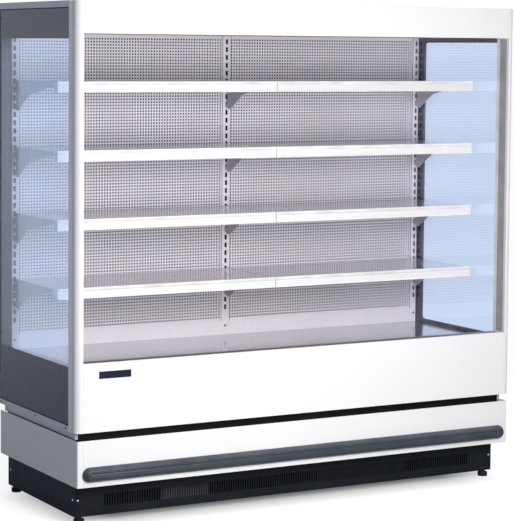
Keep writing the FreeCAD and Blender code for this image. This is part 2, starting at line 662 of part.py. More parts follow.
def end_border():
    """Dark layer with a round-cornered window, and the spacer frame between the panes."""
    x0 = INNER_WALL + PANE
    x1 = HALF_WIDTH - GLAZING_INSET - PANE
    face = x1 - BORDER_COAT
    rear = GLASS_REAR - BORDER_REAR
    window = block(face, x1, POST_OUTER, rear, GLASS_BOTTOM + BORDER_BOTTOM,
                   GLASS_TOP - BORDER_TOP)
    corners = [edge for edge in window.Edges
               if edge.BoundBox.XLength > NEAR and abs(edge.CenterOfMass.y - FRONT - rear) < NEAR]
    coat = block(face, x1, GLASS_FRONT, GLASS_REAR, GLASS_BOTTOM, GLASS_TOP)
    coat = coat.cut(window.makeFillet(BORDER_ROUND, corners))
    room = block(x0, face, POST_OUTER, UPRIGHT_DEPTH, GLASS_BOTTOM + SPACER, GLASS_TOP - SPACER)
    frame = block(x0, face, GLASS_FRONT, GLASS_REAR, GLASS_BOTTOM, GLASS_TOP).cut(room)
    return coat.fuse(frame).removeSplitter()


# Air path: return grille, deck, fans and coil below, back panels behind, canopy above.

def return_grille():
    half = INNER_POST - 2 * COVER_SEAM
    corner = at(-half, PANEL_LIP, GRILLE_SEAT)
    count = int((2 * half - 2 * GRILLE_RIM) / GRILLE_PITCH)
    first = half - (count - 1) * GRILLE_PITCH / 2 - GRILLE_SLOT / 2
    width = GRILLE_DEPTH - 2 * GRILLE_RIM
    holes = [(first + i * GRILLE_PITCH, GRILLE_SLOT, GRILLE_RIM, width) for i in range(count)]
    return holed_plate(corner, (X_AXIS, 2 * half), (Y_AXIS, GRILLE_DEPTH),
                       Z_AXIS * GRILLE_HEIGHT, holes)


def deck_support_rail():
    """Cross rail under the grille and the front of the deck, on three legs."""
    web = block(-INNER_WALL, INNER_WALL, GRILLE_REAR - BASE_STEEL, GRILLE_REAR,
                LEDGE_TOP - BASE_STEEL, GRILLE_SEAT)
    ledge = block(-INNER_WALL, INNER_WALL, GRILLE_REAR, GRILLE_REAR + LEDGE,
                  LEDGE_TOP - BASE_STEEL, LEDGE_TOP)
    legs = []
    for x in (-FAN_X, 0, FAN_X):
        legs.append(block(x - LEDGE / 2, x + LEDGE / 2, GRILLE_REAR, GRILLE_REAR + LEDGE / 2,
                          TANK_FLOOR, LEDGE_TOP - BASE_STEEL))
    return [web.fuse(ledge).removeSplitter()] + legs


def deck_panel():
    """Right-hand deck tray."""
    x0 = DECK_GAP / 2
    x1 = INNER_WALL - DECK_GAP / 2
    front = GRILLE_REAR + FREE
    rear = UPRIGHT_DEPTH - DECK_GAP
    top = block(x0, x1, front, rear, LEDGE_TOP, DECK)
    low = LEDGE_TOP - DECK_FLANGE
    lip = block(x0, x1, front + LEDGE + DECK_GAP, front + LEDGE + DECK_GAP + STEEL, low, LEDGE_TOP)
    return top.fuse(lip).removeSplitter()


def fan_plate():
    plate = block(-INNER_WALL, INNER_WALL, FAN_PLATE_DEPTH, FAN_PLATE_DEPTH + BASE_STEEL,
                  TANK_FLOOR, LEDGE_TOP)
    for x in (-FAN_X, FAN_X):
        plate = plate.cut(rod(x, FAN_PLATE_DEPTH, FAN_Z, EVAP_FAN + FAN_TIP_GAP, BASE_STEEL,
                              Y_AXIS))
    return plate


def fan(x, z, front, tip, hub, motor_behind):
    """Hub, pitched blades and shaft turning about the depth axis."""
    wheel = rod(x, front, z, hub, FAN_WIDTH, Y_AXIS)
    centre = at(x, front + FAN_WIDTH / 2, z)
    for i in range(BLADES):
        root = hub - BLADE_ROOT
        blade = Part.makeBox(BLADE_CHORD, BASE_STEEL, tip + BLADE_ROOT - root)
        blade.translate(FreeCAD.Vector(-BLADE_CHORD / 2, -BASE_STEEL / 2, root))
        blade.rotate(FreeCAD.Vector(0, 0, 0), Z_AXIS, BLADE_ANGLE)
        blade.translate(centre)
        blade.rotate(centre, Y_AXIS, i * 360 / BLADES)
        wheel = wheel.fuse(blade)
    inside = Part.makeCylinder(tip, 4 * FAN_WIDTH, at(x, front - FAN_WIDTH, z), Y_AXIS)
    wheel = wheel.common(inside)
    reach = MOTOR_GAP + SHAFT_BITE
    start = front + FAN_WIDTH if motor_behind else front - reach
    return wheel.fuse(rod(x, start, z, SHAFT, reach, Y_AXIS))


def fan_motor(x, z, face, behind, floor):
    """Motor on a pedestal, with the bore that carries the fan's shaft."""
    front = face if behind else face - MOTOR_LENGTH
    body = rod(x, front, z, MOTOR, MOTOR_LENGTH, Y_AXIS)
    middle = front + MOTOR_LENGTH / 2
    stand = block(x - PEDESTAL / 2, x + PEDESTAL / 2, middle - PEDESTAL / 2,
                  middle + PEDESTAL / 2, floor, z)
    start = front if behind else face - SHAFT_BITE - FREE
    bore = rod(x, start, z, SHAFT + RUNNING, SHAFT_BITE + FREE, Y_AXIS)
    return body.fuse(stand).cut(bore)


def evaporator_front():
    """Front of the evaporator fans, which turn inside the holes of their plate."""
    return FAN_PLATE_DEPTH + BASE_STEEL / 2 - FAN_WIDTH / 2


def finned_coil(x0, x1, front, depth, low, height, bends):
    """Fin block, two end plates and the return bends of its tubes."""
    block_low = low + BEND_TUBE
    core = block(x0, x1, front, front + depth, block_low, low + height)
    plates = []
    for x in (x0 - STEEL, x1):
        plates.append(block(x, x + STEEL, front, front + depth, low, low + height))
    pitch = height / (bends + 1)
    rise = pitch / 2 - BEND_TUBE
    elbows = []
    for i in range(bends):
        z = low + (i + 1) * pitch
        place = at(x1 + STEEL, front + depth / 3, z)
        ring = Part.makeTorus(rise, BEND_TUBE / 2, place, Y_AXIS)
        keep = Part.makeBox(pitch, pitch, 2 * pitch, place - FreeCAD.Vector(0, pitch / 2, pitch))
        elbows.append(ring.common(keep))
    return [core] + plates + elbows


def evaporator_coil():
    low = TANK_FLOOR
    return finned_coil(-COIL_HALF, COIL_HALF, COIL_FRONT, COIL_DEPTH, low,
                       COIL_CLEAR + COIL_HEIGHT, COIL_BENDS)


def upright(x0, x1, slot_x, locating=()):
    """Folded channel between tank floor and roof, with one column of bracket slots."""
    web = block(x0, x1, UPRIGHT_DEPTH, UPRIGHT_DEPTH + UPRIGHT_STEEL, TANK_FLOOR, ROOF_BOTTOM)
    sides = []
    for x in (x0, x1 - UPRIGHT_STEEL):
        sides.append(block(x, x + UPRIGHT_STEEL, UPRIGHT_DEPTH, REAR_LINER,
                           TANK_FLOOR, ROOF_BOTTOM))
    post = web.fuse(sides).removeSplitter()
    slots = []
    for i, z in enumerate(slot_heights()):
        slots.append(block(slot_x - SLOT_WIDTH / 2, slot_x + SLOT_WIDTH / 2, UPRIGHT_DEPTH,
                           UPRIGHT_DEPTH + UPRIGHT_STEEL, z - SLOT_HEIGHT / 2,
                           z + SLOT_HEIGHT / 2))
        if i in locating:
            slots.append(rod(slot_x - LOCATING_SHIFT, UPRIGHT_DEPTH, z, LOCATING_HOLE,
                             UPRIGHT_STEEL, Y_AXIS))
    return post.cut(slots)


def slot_heights():
    first = DECK + FIRST_SLOT
    room = SOFFIT - SLOT_HEADROOM - SLOT_HEIGHT / 2 - first
    return [first + i * SLOT_PITCH for i in range(int(room / SLOT_PITCH) + 1)]


def end_upright():
    return upright(BAY_WIDTH - UPRIGHT_WIDTH / 2, INNER_WALL, BAY_WIDTH, LOCATING_SLOTS)


def back_panel():
    """Right-hand air outlet panel, with side returns and the ledge under the deck."""
    x0 = UPRIGHT_WIDTH / 2
    x1 = BAY_WIDTH - UPRIGHT_WIDTH / 2
    low = LEDGE_TOP - STEEL
    sheet = block(x0, x1, PANEL_FACE, PANEL_FACE + STEEL, low, SOFFIT)
    parts = []
    for x in (x0, x1 - STEEL):
        parts.append(block(x, x + STEEL, PANEL_FACE, PANEL_FACE + PANEL_RETURN, low, SOFFIT))
    parts.append(block(x0, x1, PANEL_FACE - LEDGE, PANEL_FACE, low, LEDGE_TOP))
    return sheet.fuse(parts).removeSplitter()


def air_honeycomb():
    half = INNER_POST - COVER_SEAM
    corner = at(-half, CANOPY_LIP, SOFFIT)
    count = int((2 * half - 2 * CELL_RIM) / CELL_PITCH)
    first = half - (count - 1) * CELL_PITCH / 2 - CELL_GAP / 2
    row = (HONEYCOMB_DEPTH - CELL_RIM) / CELL_ROWS
    holes = []
    for i in range(count):
        for j in range(CELL_ROWS):
            side = CELL_RIM / 2 + j * row + (row - CELL_GAP) / 2
            holes.append((first + i * CELL_PITCH, CELL_GAP, side, CELL_GAP))
    return holed_plate(corner, (X_AXIS, 2 * half), (Y_AXIS, HONEYCOMB_DEPTH),
                       Z_AXIS * HONEYCOMB_HEIGHT, holes)


def canopy_soffit():
    front = CANOPY_LIP + HONEYCOMB_DEPTH
    sheet = block(-INNER_WALL, INNER_WALL, front, UPRIGHT_DEPTH, SOFFIT, SOFFIT + STEEL)
    turn = block(-INNER_WALL, INNER_WALL, front, front + STEEL, SOFFIT, SOFFIT + HONEYCOMB_HEIGHT)
    return sheet.fuse(turn).removeSplitter()


# Shelves: a tray with a ticket rail, lying on two brackets hooked into the uprights.

def shelf_top(level):
    slot = LOWEST_SHELF_SLOT + level * SLOTS_PER_LEVEL
    return DECK + FIRST_SLOT + slot * SLOT_PITCH + SHELF_ABOVE_SLOT


def bracket(x0, top):
    """Side plate of a bracket whose upper edge carries the shelf at height top."""
    x1 = x0 + BRACKET_THICK
    tip = SHELF_SETBACK + NOSE_DEPTH + 2 * DECK_GAP
    face = UPRIGHT_DEPTH
    knee = (face - HEEL_LENGTH, top - ARM_DEPTH)
    toe = (face - HEEL_TOE, top - HEEL_DEPTH)
    plate = side_prism([(face, top), (tip, top), (tip, top - ARM_TIP), knee, toe,
                        (face, toe[1] + HEEL_RISE)], x0, x1)
    for (depth, z), radius in ((knee, KNEE_ROUND), (toe, TOE_ROUND)):
        corner = at(x0 + BRACKET_THICK / 2, depth, z)
        edges = [edge for edge in plate.Edges if (edge.CenterOfMass - corner).Length < NEAR]
        plate = plate.makeFillet(radius, edges)
    hooked = top + PAN_DROP + STEEL - SHELF_ABOVE_SLOT
    seats = [z - SLOT_HEIGHT / 2 for z in (hooked, hooked - 2 * SLOT_PITCH)]
    plate = plate.cut(block(x0, x1, face - REAR_NOTCH, face,
                            seats[1] + HOOK_HEIGHT + NOTCH_MARGIN, seats[0] - NOTCH_MARGIN))
    for seat in seats:
        back = face + UPRIGHT_STEEL
        tongue = block(x0, x1, face, back + HOOK_REACH, seat, seat + HOOK_HEIGHT)
        drop = block(x0, x1, back + FREE, back + HOOK_REACH, seat - HOOK_DROP, seat)
        plate = plate.fuse([tongue, drop])
    return plate.removeSplitter()


def bracket_places():
    """Left edges of the two brackets of the right-hand bay."""
    outer = BAY_WIDTH - BRACKET_GAP - BRACKET_THICK
    return (BRACKET_GAP, outer)


def shelf_brackets():
    brackets = []
    for level in range(SHELF_LEVELS):
        top = shelf_top(level) - PAN_DROP - STEEL
        for x in bracket_places():
            plate = bracket(x, top)
            brackets.append(plate)
            brackets.append(mirrored(plate))
    return brackets


def shelf(level):
    """Right-hand shelf of a level: tray, ticket rail and the two end caps of the rail."""
    top = shelf_top(level)
    x0 = SHELF_JOINT / 2
    x1 = BAY_WIDTH + SHELF_OVERHANG
    back = SHELF_SETBACK + RAIL_THICK
    under = top - PAN_DROP - STEEL
    inner, outer = bracket_places()
    left = inner + BRACKET_THICK + FREE
    right = outer - FREE - STEEL
    tray = block(x0, x1, back, SHELF_REAR, under, under + STEEL)
    nose = block(x0 + CAP_THICK, x1 - CAP_THICK, back, back + STEEL, top - RAIL_HEIGHT, under)
    rear = block(left, right + STEEL, SHELF_REAR - STEEL, SHELF_REAR, under - PAN_FLANGE, under)
    start = SHELF_SETBACK + NOSE_DEPTH
    flanges = []
    for x in (left, right):
        flanges.append(block(x, x + STEEL, start, SHELF_REAR, under - PAN_FLANGE, under))
    tray = tray.fuse([nose, rear] + flanges).removeSplitter()
    low = top - RAIL_HEIGHT
    face = SHELF_SETBACK + LABEL_RECESS
    section = [(SHELF_SETBACK, top), (back, top), (back, low), (SHELF_SETBACK, low),
               (SHELF_SETBACK, low + LABEL_FOOT), (face, low + LABEL_FOOT + LABEL_RECESS),
               (face, top - RAIL_LIP - LABEL_RECESS), (SHELF_SETBACK, top - RAIL_LIP)]
    rail = side_prism(section, x0 + CAP_THICK, x1 - CAP_THICK)
    caps = [shelf_cap(x0, top, under), shelf_cap(x1 - CAP_THICK, top, under)]
    return [tray, rail] + caps


def shelf_cap(x, top, under):
    """End cap with a hollowed rear edge, below the tray and in front of it."""
    low = top - RAIL_HEIGHT
    front = SHELF_SETBACK
    rear = front + NOSE_DEPTH
    lip = front + RAIL_THICK
    outline = [at(x, rear, under), at(x, lip, under), at(x, lip, top), at(x, front, top),
               at(x, front, low), at(x, rear, low)]
    hollow = Part.Arc(at(x, rear, low), at(x, rear - NOSE_HOLLOW, (low + under) / 2),
                      at(x, rear, under))
    wire = Part.Wire(Part.makePolygon(outline).Edges + [hollow.toShape()])
    return Part.Face(wire).extrude(FreeCAD.Vector(CAP_THICK, 0, 0))


# Machinery on the floor of the base.

def compressor_top():
    return BASE_FLOOR + GROMMET + STEEL + COMPRESSOR_HEIGHT


def compressor():
    """Hermetic pot with its pipe stubs on a plate with four rubber mounts."""
    plate_low = BASE_FLOOR + GROMMET
    half = MOUNT_PLATE / 2
    x0 = COMPRESSOR_X - half
    d0 = COMPRESSOR_DEPTH - half
    plate = block(x0, x0 + MOUNT_PLATE, d0, d0 + MOUNT_PLATE, plate_low, plate_low + STEEL)
    pot = rod(COMPRESSOR_X, COMPRESSOR_DEPTH, plate_low + STEEL, COMPRESSOR_R,
              COMPRESSOR_HEIGHT, Z_AXIS)
    top = compressor_top()
    rims = [edge for edge in pot.Edges if abs(edge.BoundBox.ZMin - top) < NEAR]
    pot = pot.makeFillet(COMPRESSOR_DOME, rims)
    bury = COMPRESSOR_HEIGHT / 2
    for x, radius in ((0, SUCTION), (STUB_SPACING, LIQUID)):
        stub = rod(COMPRESSOR_X + x, COMPRESSOR_DEPTH, top - bury, radius + STEEL,
                   bury + STUB_HEIGHT, Z_AXIS)
        pot = pot.fuse(stub)
    mounts = []
    for dx in (GROMMET, MOUNT_PLATE - GROMMET):
        for dy in (GROMMET, MOUNT_PLATE - GROMMET):
            mounts.append(rod(x0 + dx, d0 + dy, BASE_FLOOR, GROMMET, GROMMET, Z_AXIS))
    return [pot, plate] + mounts


def condenser_coil():
    return finned_coil(CONDENSER_LEFT, CONDENSER_LEFT + CONDENSER_WIDTH, CONDENSER_FRONT,
                       CONDENSER_DEPTH, BASE_FLOOR, CONDENSER_HEIGHT, COIL_BENDS)


def condenser_shroud():
    """Fan shroud of five sheets behind the condenser, and the fan's motor on its stand."""
    x0 = CONDENSER_LEFT
    x1 = CONDENSER_LEFT + CONDENSER_WIDTH
    z0 = BASE_FLOOR
    z1 = BASE_FLOOR + CONDENSER_HEIGHT
    face = SHROUD_BACK - STEEL
    panel = block(x0, x1, face, SHROUD_BACK, z0, z1)
    panel = panel.cut(rod(CONDENSER_X, face, CONDENSER_Z, CONDENSER_FAN + FAN_TIP_GAP, STEEL,
                          Y_AXIS))
    left = block(x0, x0 + STEEL, CONDENSER_BACK, face, z0, z1)
    right = block(x1 - STEEL, x1, CONDENSER_BACK, face, z0, z1)
    top = block(x0 + STEEL, x1 - STEEL, CONDENSER_BACK, face, z1 - STEEL, z1)
    motor_face = condenser_fan_front() + FAN_WIDTH + MOTOR_GAP
    motor = fan_motor(CONDENSER_X, CONDENSER_Z, motor_face, True, BASE_FLOOR)
    return [panel, left, right, top, motor]


def condenser_fan_front():
    return SHROUD_BACK - STEEL / 2 - FAN_WIDTH / 2


def electrical_box():
    return block(BOX_X, BOX_X + BOX_WIDTH, CONDENSER_FRONT, CONDENSER_FRONT + BOX_WIDTH,
                 BASE_FLOOR, BASE_FLOOR + BOX_HEIGHT)


def drain_x():
    return PAN_X + DRAIN + 2 * DRAIN_WALL


def drain_depth():
    return BASE_REAR - RAIL - DRAIN - 2 * DRAIN_WALL


def drain_tray():
    """Open condensate tray, and the drain pipe that hangs from the tank floor into it."""
    rear = BASE_REAR - RAIL
    tray = block(PAN_X, PAN_X + PAN_WIDTH, rear - PAN_DEPTH, rear,
                 BASE_FLOOR, BASE_FLOOR + PAN_HEIGHT)
    inside = block(PAN_X + DRAIN_WALL, PAN_X + PAN_WIDTH - DRAIN_WALL,
                   rear - PAN_DEPTH + DRAIN_WALL, rear - DRAIN_WALL,
                   BASE_FLOOR + DRAIN_WALL, BASE_FLOOR + PAN_HEIGHT)
    low = BASE_FLOOR + PAN_HEIGHT / 2
    outer = rod(drain_x(), drain_depth(), low, DRAIN, TANK_FLOOR - low, Z_AXIS)
    inner = rod(drain_x(), drain_depth(), low, DRAIN - DRAIN_WALL, TANK_FLOOR - low, Z_AXIS)
    return [tray.cut(inside), outer.cut(inner)]


def build():
    save("base_frame", base_frame())
    save("kick_plate_front", [kick_plate_front()])
    save("kick_plate_right", [kick_plate_side()])
    save("kick_plate_left", [mirrored(kick_plate_side())])
    save("lower_front_cover", [lower_front_cover()])
    save("lower_cover_right", [lower_side_cover()])
    save("lower_cover_left", [mirrored(lower_side_cover())])
    save("bumper_rail", bumper())
    names = ("foot_front_left", "foot_front_right", "foot_rear_left", "foot_rear_right")
    for name, place in zip(names, foot_places()):
        save(name, [foot(place[0], place[1])])
    save("tank_floor", [tank_floor()])
    save("tank_front_wall", [tank_front_wall()])
    save("front_panel", [front_panel()])
    save("name_plate", [name_plate()])
    save("rear_wall", [rear_wall()])
    save("roof_body", [roof_body()])
    save("fascia", [fascia()])
    save("end_post_right", [end_post()])
    save("end_post_left", [mirrored(end_post())])
    save("end_frame_right", end_frame())
    save("end_frame_left", [mirrored(bar) for bar in end_frame()])
    save("end_glass_right", end_glass())
    save("end_glass_left", [mirrored(pane) for pane in end_glass()])
    save("end_border_right", [end_border()])
    save("end_border_left", [mirrored(end_border())])
    save("return_grille", [return_grille()])
    save("deck_support_rail", deck_support_rail())
    save("deck_panel_right", [deck_panel()])
    save("deck_panel_left", [mirrored(deck_panel())])
    save("fan_plate", [fan_plate()])
    motors = []
    for name, x in (("evaporator_fan_left", -FAN_X), ("evaporator_fan_right", FAN_X)):
        front = evaporator_front()
        save(name, [fan(x, FAN_Z, front, EVAP_FAN, EVAP_HUB, False)])
        motors.append(fan_motor(x, FAN_Z, front - MOTOR_GAP, False, TANK_FLOOR))
    save("evaporator_motors", motors)
    save("evaporator_coil", evaporator_coil())
    half = UPRIGHT_WIDTH / 2
    save("upright_centre", [upright(-half, half, 0)])
    save("upright_right", [end_upright()])
    save("upright_left", [mirrored(end_upright())])
    save("back_panel_right", [back_panel()])
    save("back_panel_left", [mirrored(back_panel())])
    save("air_honeycomb", [air_honeycomb()])
    save("canopy_soffit", [canopy_soffit()])
    save("shelf_brackets", shelf_brackets())
    for level in range(SHELF_LEVELS):
        pieces = shelf(level)
        save("shelf_right_" + str(level + 1), pieces)
        save("shelf_left_" + str(level + 1), [mirrored(piece) for piece in pieces])
    save("compressor", compressor())
    save("condenser_coil", condenser_coil())
    save("condenser_shroud", condenser_shroud())
    save("condenser_fan", [fan(CONDENSER_X, CONDENSER_Z, condenser_fan_front(),
                               CONDENSER_FAN, CONDENSER_HUB, True)])
    save("refrigerant_pipes", refrigerant_pipes())
    save("electrical_box", [electrical_box()])
    save("drain_tray", drain_tray())
    save("cover_screws", cover_screws())


build()
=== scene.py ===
import math
import bmesh
import bpy
from mathutils import Matrix, Vector


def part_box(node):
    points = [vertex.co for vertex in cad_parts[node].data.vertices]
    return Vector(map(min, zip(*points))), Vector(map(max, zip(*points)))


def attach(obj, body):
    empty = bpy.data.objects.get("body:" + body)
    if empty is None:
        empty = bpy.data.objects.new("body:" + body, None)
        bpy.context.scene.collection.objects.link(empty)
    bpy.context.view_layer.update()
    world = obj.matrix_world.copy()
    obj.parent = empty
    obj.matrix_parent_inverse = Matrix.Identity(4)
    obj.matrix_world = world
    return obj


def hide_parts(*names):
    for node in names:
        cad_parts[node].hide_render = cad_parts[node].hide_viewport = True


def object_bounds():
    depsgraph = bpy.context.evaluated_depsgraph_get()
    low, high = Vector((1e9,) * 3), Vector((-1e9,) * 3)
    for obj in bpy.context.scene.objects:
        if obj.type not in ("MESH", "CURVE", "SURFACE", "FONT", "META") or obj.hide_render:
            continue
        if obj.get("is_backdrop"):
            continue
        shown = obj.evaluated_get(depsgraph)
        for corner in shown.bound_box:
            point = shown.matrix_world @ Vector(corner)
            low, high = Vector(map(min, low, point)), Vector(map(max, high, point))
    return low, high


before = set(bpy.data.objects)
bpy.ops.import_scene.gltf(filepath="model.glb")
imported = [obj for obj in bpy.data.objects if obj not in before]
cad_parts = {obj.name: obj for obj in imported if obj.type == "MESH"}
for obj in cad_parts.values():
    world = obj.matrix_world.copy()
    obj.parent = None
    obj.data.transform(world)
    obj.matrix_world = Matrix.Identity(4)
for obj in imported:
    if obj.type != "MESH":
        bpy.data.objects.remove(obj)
cad_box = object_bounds()

# Studio. The fridge stands on a pale floor in a white room. A soft box and a broad lamp in
# front light the open bays and a lamp behind lights the back. The left end wall faces none
# of them and lies in its own shade.

scene = bpy.context.scene
scene.view_settings.view_transform = "Standard"


def feed(tree, inlet, value):
    """Wire an output to an input, or set the input to a plain value."""
    if isinstance(value, bpy.types.NodeSocket):
        tree.links.new(value, inlet)
    else:
        inlet.default_value = value


def node(tree, kind, settings=None, **inputs):
    """A shader node. An input is named by its label, or by its place as i0, i1 and so on."""
    made = tree.nodes.new("ShaderNode" + kind)
    for label, value in (settings or {}).items():
        setattr(made, label, value)
    for label, value in inputs.items():
        by_place = label[0] == "i" and label[1:].isdigit()
        feed(tree, made.inputs[int(label[1:]) if by_place else label.replace("_", " ")], value)
    return made


def sums(tree, operation, first, second):
    """The result of a sum of two numbers."""
    return node(tree, "Math", {"operation": operation}, i0=first, i1=second).outputs[0]


def blended(tree, share, first, second, way="MIX"):
    """One colour laid over another; a Mix node has its colours at inputs 6 and 7."""
    settings = {"data_type": "RGBA", "blend_type": way}
    return node(tree, "Mix", settings, i0=share, i6=first, i7=second).outputs[2]


def ranged(tree, value, low, high, start=0.0, end=1.0):
    """A number brought from the range start to end into the range low to high."""
    return node(tree, "MapRange", Value=value, From_Min=start, From_Max=end, To_Min=low,
                To_Max=high).outputs[0]


def places(tree):
    """The point on the object, in the frame's own metres."""
    return node(tree, "TexCoord").outputs["Object"]


white = (1, 1, 1, 1)
shade_of_room = (0.155, 0.165, 0.190, 1)
room_in_gloss = (0.70, 0.77, 0.92, 1)
room = bpy.data.worlds.new("white_room")
room.use_nodes = True
scene.world = room
tree = room.node_tree
path = node(tree, "LightPath").outputs
seen = sums(tree, "MAXIMUM", path["Is Camera Ray"], path["Is Transmission Ray"])
first_hit = sums(tree, "LESS_THAN", path["Diffuse Depth"], 0.5)
mirrored = sums(tree, "MULTIPLY", path["Is Glossy Ray"], first_hit)
around = blended(tree, mirrored, shade_of_room, room_in_gloss)
behind = blended(tree, sums(tree, "MULTIPLY", seen, first_hit), around, white)
tree.links.new(behind, tree.nodes["Background"].inputs["Color"])

# The floor glows for the eye, so that it fades into the white room, and keeps a painted shadow,
# a dim patch under the base. In gloss it glows as a painted reflection: painted shade near the
# fridge, brighter further off and bluer far away.
floor_reach = 400
floor_glow, painted_shadow_depth = 0.78, 0.62
painted_shadow_edges = (("X", 0.75, 1.02), ("Y", 0.20, 0.40))
painted_shade_near_floor = (0.02, 0.06, 0.12, 1)
middle_floor = (0.50, 0.55, 0.66, 1)
far_floor = (0.37, 0.44, 0.59, 1)
brightens, turns_blue = (1.0, 6.0), (14.0, 60.0)

ground = bmesh.new()
bmesh.ops.create_grid(ground, x_segments=1, y_segments=1, size=floor_reach)
mesh = bpy.data.meshes.new("floor")
ground.to_mesh(mesh)
ground.free()
floor = bpy.data.objects.new("floor", mesh)
scene.collection.objects.link(floor)
floor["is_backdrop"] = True
pale = bpy.data.materials.new("pale_floor")
pale.use_nodes = True
tree = pale.node_tree
shader = tree.nodes["Principled BSDF"]
shader.inputs["Roughness"].default_value = 0.9
shader.inputs["Specular IOR Level"].default_value = 0.0
spot = places(tree)
speckle = node(tree, "TexNoise", Scale=3.0, Vector=spot).outputs[0]
tree.links.new(ranged(tree, speckle, 0.44, 0.46), shader.inputs["Base Color"])
path = node(tree, "LightPath").outputs
seen = sums(tree, "MAXIMUM", path["Is Camera Ray"], path["Is Transmission Ray"])
away = node(tree, "VectorMath", {"operation": "LENGTH"}, i0=spot).outputs["Value"]
sides = node(tree, "SeparateXYZ", Vector=spot).outputs
# Under the base the floor's glow is dimmed: a painted shadow.
under = 1.0
for axis, inner, outer in painted_shadow_edges:
    reach = sums(tree, "ABSOLUTE", sides[axis], 0.0)
    under = sums(tree, "MULTIPLY", under, ranged(tree, reach, 1.0, 0.0, inner, outer))
plain = sums(tree, "SUBTRACT", floor_glow, sums(tree, "MULTIPLY", under, painted_shadow_depth))
# In gloss the floor glows as a painted reflection, with painted shade near the fridge.
painted_reflection_in_gloss = blended(tree, ranged(tree, away, 0.0, 1.0, *brightens), painted_shade_near_floor, middle_floor)
painted_reflection_in_gloss = blended(tree, ranged(tree, away, 0.0, 1.0, *turns_blue), painted_reflection_in_gloss, far_floor)
tree.links.new(blended(tree, seen, painted_reflection_in_gloss, plain), shader.inputs["Emission Color"])
lit = sums(tree, "MAXIMUM", seen, path["Is Glossy Ray"])
tree.links.new(lit, shader.inputs["Emission Strength"])
mesh.materials.append(pale)


def lamp(name, strength, spread, azimuth, elevation):
    """A soft distant lamp that shines from an azimuth, counted from the front to the right."""
    light = bpy.data.lights.new(name, "SUN")
    light.energy = strength
    light.angle = math.radians(spread)
    holder = bpy.data.objects.new(name, light)
    turn, lift = math.radians(azimuth), math.radians(elevation)
    level = math.cos(lift)
    source = Vector((math.sin(turn) * level, -math.cos(turn) * level, math.sin(lift)))
    holder.rotation_euler = source.to_track_quat("Z", "Y").to_euler()
    scene.collection.objects.link(holder)


lamp("upper_lamp", strength=0.60, spread=30, azimuth=2, elevation=38)
lamp("rear_lamp", strength=0.9, spread=40, azimuth=158, elevation=34)
away_from_bays = Vector((-0.15, -2.7, 0.5))
light = bpy.data.lights.new("soft_box", "AREA")
light.energy = 74
light.shape = "RECTANGLE"
light.size = 1.0
light.size_y = 1.4
soft_box = bpy.data.objects.new("soft_box", light)
soft_box.location = (-0.40, -3.0, 1.45)
soft_box.rotation_euler = away_from_bays.to_track_quat("Z", "Y").to_euler()
soft_box.visible_camera = False
scene.collection.objects.link(soft_box)

# The camera stands to the left at eye height. Its focal length, and the row that its axis
# meets, are in pixels of a picture 521 pixels high.
film = 36
picture_height = 521
focal_pixels, axis_row = 1998.2, 182
eye = (-3.92233, -6.95717, 1.7566)
turn, tip, roll = math.radians(-29.3031), math.radians(-3.788), math.radians(0.4569)
lens = bpy.data.cameras.new("camera")
lens.sensor_width = film
lens.lens = focal_pixels / picture_height * film
lens.shift_y = (axis_row - picture_height / 2) / picture_height
lens.clip_end = 200
camera = bpy.data.objects.new("camera", lens)
scene.collection.objects.link(camera)
scene.camera = camera
ahead = Vector((-math.sin(turn) * math.cos(tip), math.cos(turn) * math.cos(tip), math.sin(tip)))
across = Vector((math.cos(turn), math.sin(turn), 0))
upward = across.cross(ahead)
across, upward = (across * math.cos(roll) + upward * math.sin(roll),
                  upward * math.cos(roll) - across * math.sin(roll))
aim = Matrix((across, upward, -ahead)).transposed().to_4x4()
camera.matrix_world = Matrix.Translation(eye) @ aim

# Base. A welded frame of square tube with a sheet floor and walls, sprayed dark before the
# machinery goes in; its near-black colour is also painted shade for the shadow gap. It shows
# only in the shadow gap, at the back and from below.


def effect(name, takes, gives):
    """An empty group of nodes with named inputs and outputs."""
    tree = bpy.data.node_groups.new(name, "ShaderNodeTree")
    for label, kind, start in takes:
        socket = tree.interface.new_socket(label, in_out="INPUT", socket_type="NodeSocket" + kind)
        socket.default_value = start
    for label, kind in gives:
        tree.interface.new_socket(label, in_out="OUTPUT", socket_type="NodeSocket" + kind)
    given = tree.nodes.new("NodeGroupInput").outputs
    return tree, given, tree.nodes.new("NodeGroupOutput").inputs


colour_in = ("Color", "Color", white)
surface_out = [("Color", "Color"), ("Roughness", "Float"), ("Height", "Float")]

# Dust settles on what faces up, more near the floor.
dust_colour = (0.46, 0.44, 0.42, 1)
tree, given, result = effect(
    "settled_dust",
    [colour_in, ("Roughness", "Float", 0.5), ("Dust", "Float", 0.2)], surface_out[:2])
settled_dust = tree
facing = node(tree, "SeparateXYZ", Vector=node(tree, "NewGeometry").outputs["Normal"])
spots = places(tree)
height = node(tree, "SeparateXYZ", Vector=spots).outputs["Z"]
low_down = ranged(tree, height, 1.0, 0.25, 0.0, 0.5)
drift = node(tree, "TexNoise", Vector=spots, Scale=9.0, Detail=5.0, Roughness=0.65).outputs[0]
drift = ranged(tree, drift, 0.1, 1.0, 0.35, 0.7)
face_up = ranged(tree, facing.outputs["Z"], 0.15, 1.0, 0.2, 0.9)
dust = sums(tree, "MULTIPLY", sums(tree, "MULTIPLY", drift, face_up), low_down)
dust = sums(tree, "MULTIPLY", dust, given["Dust"])
tree.links.new(blended(tree, dust, given["Color"], dust_colour), result["Color"])
rough = sums(tree, "ADD", given["Roughness"], sums(tree, "MULTIPLY", dust, 0.6))
tree.links.new(rough, result["Roughness"])


def finished(tree, result, given, colour, gloss, relief):
    """Close a group: dust goes over the colour and gloss, and the relief goes out as it is."""
    over = node(tree, "Group", {"node_tree": settled_dust}, Color=colour, Roughness=gloss,
                Dust=given["Dust"])
    tree.links.new(over.outputs["Color"], result["Color"])
    tree.links.new(over.outputs["Roughness"], result["Roughness"])
    tree.links.new(relief, result["Height"])


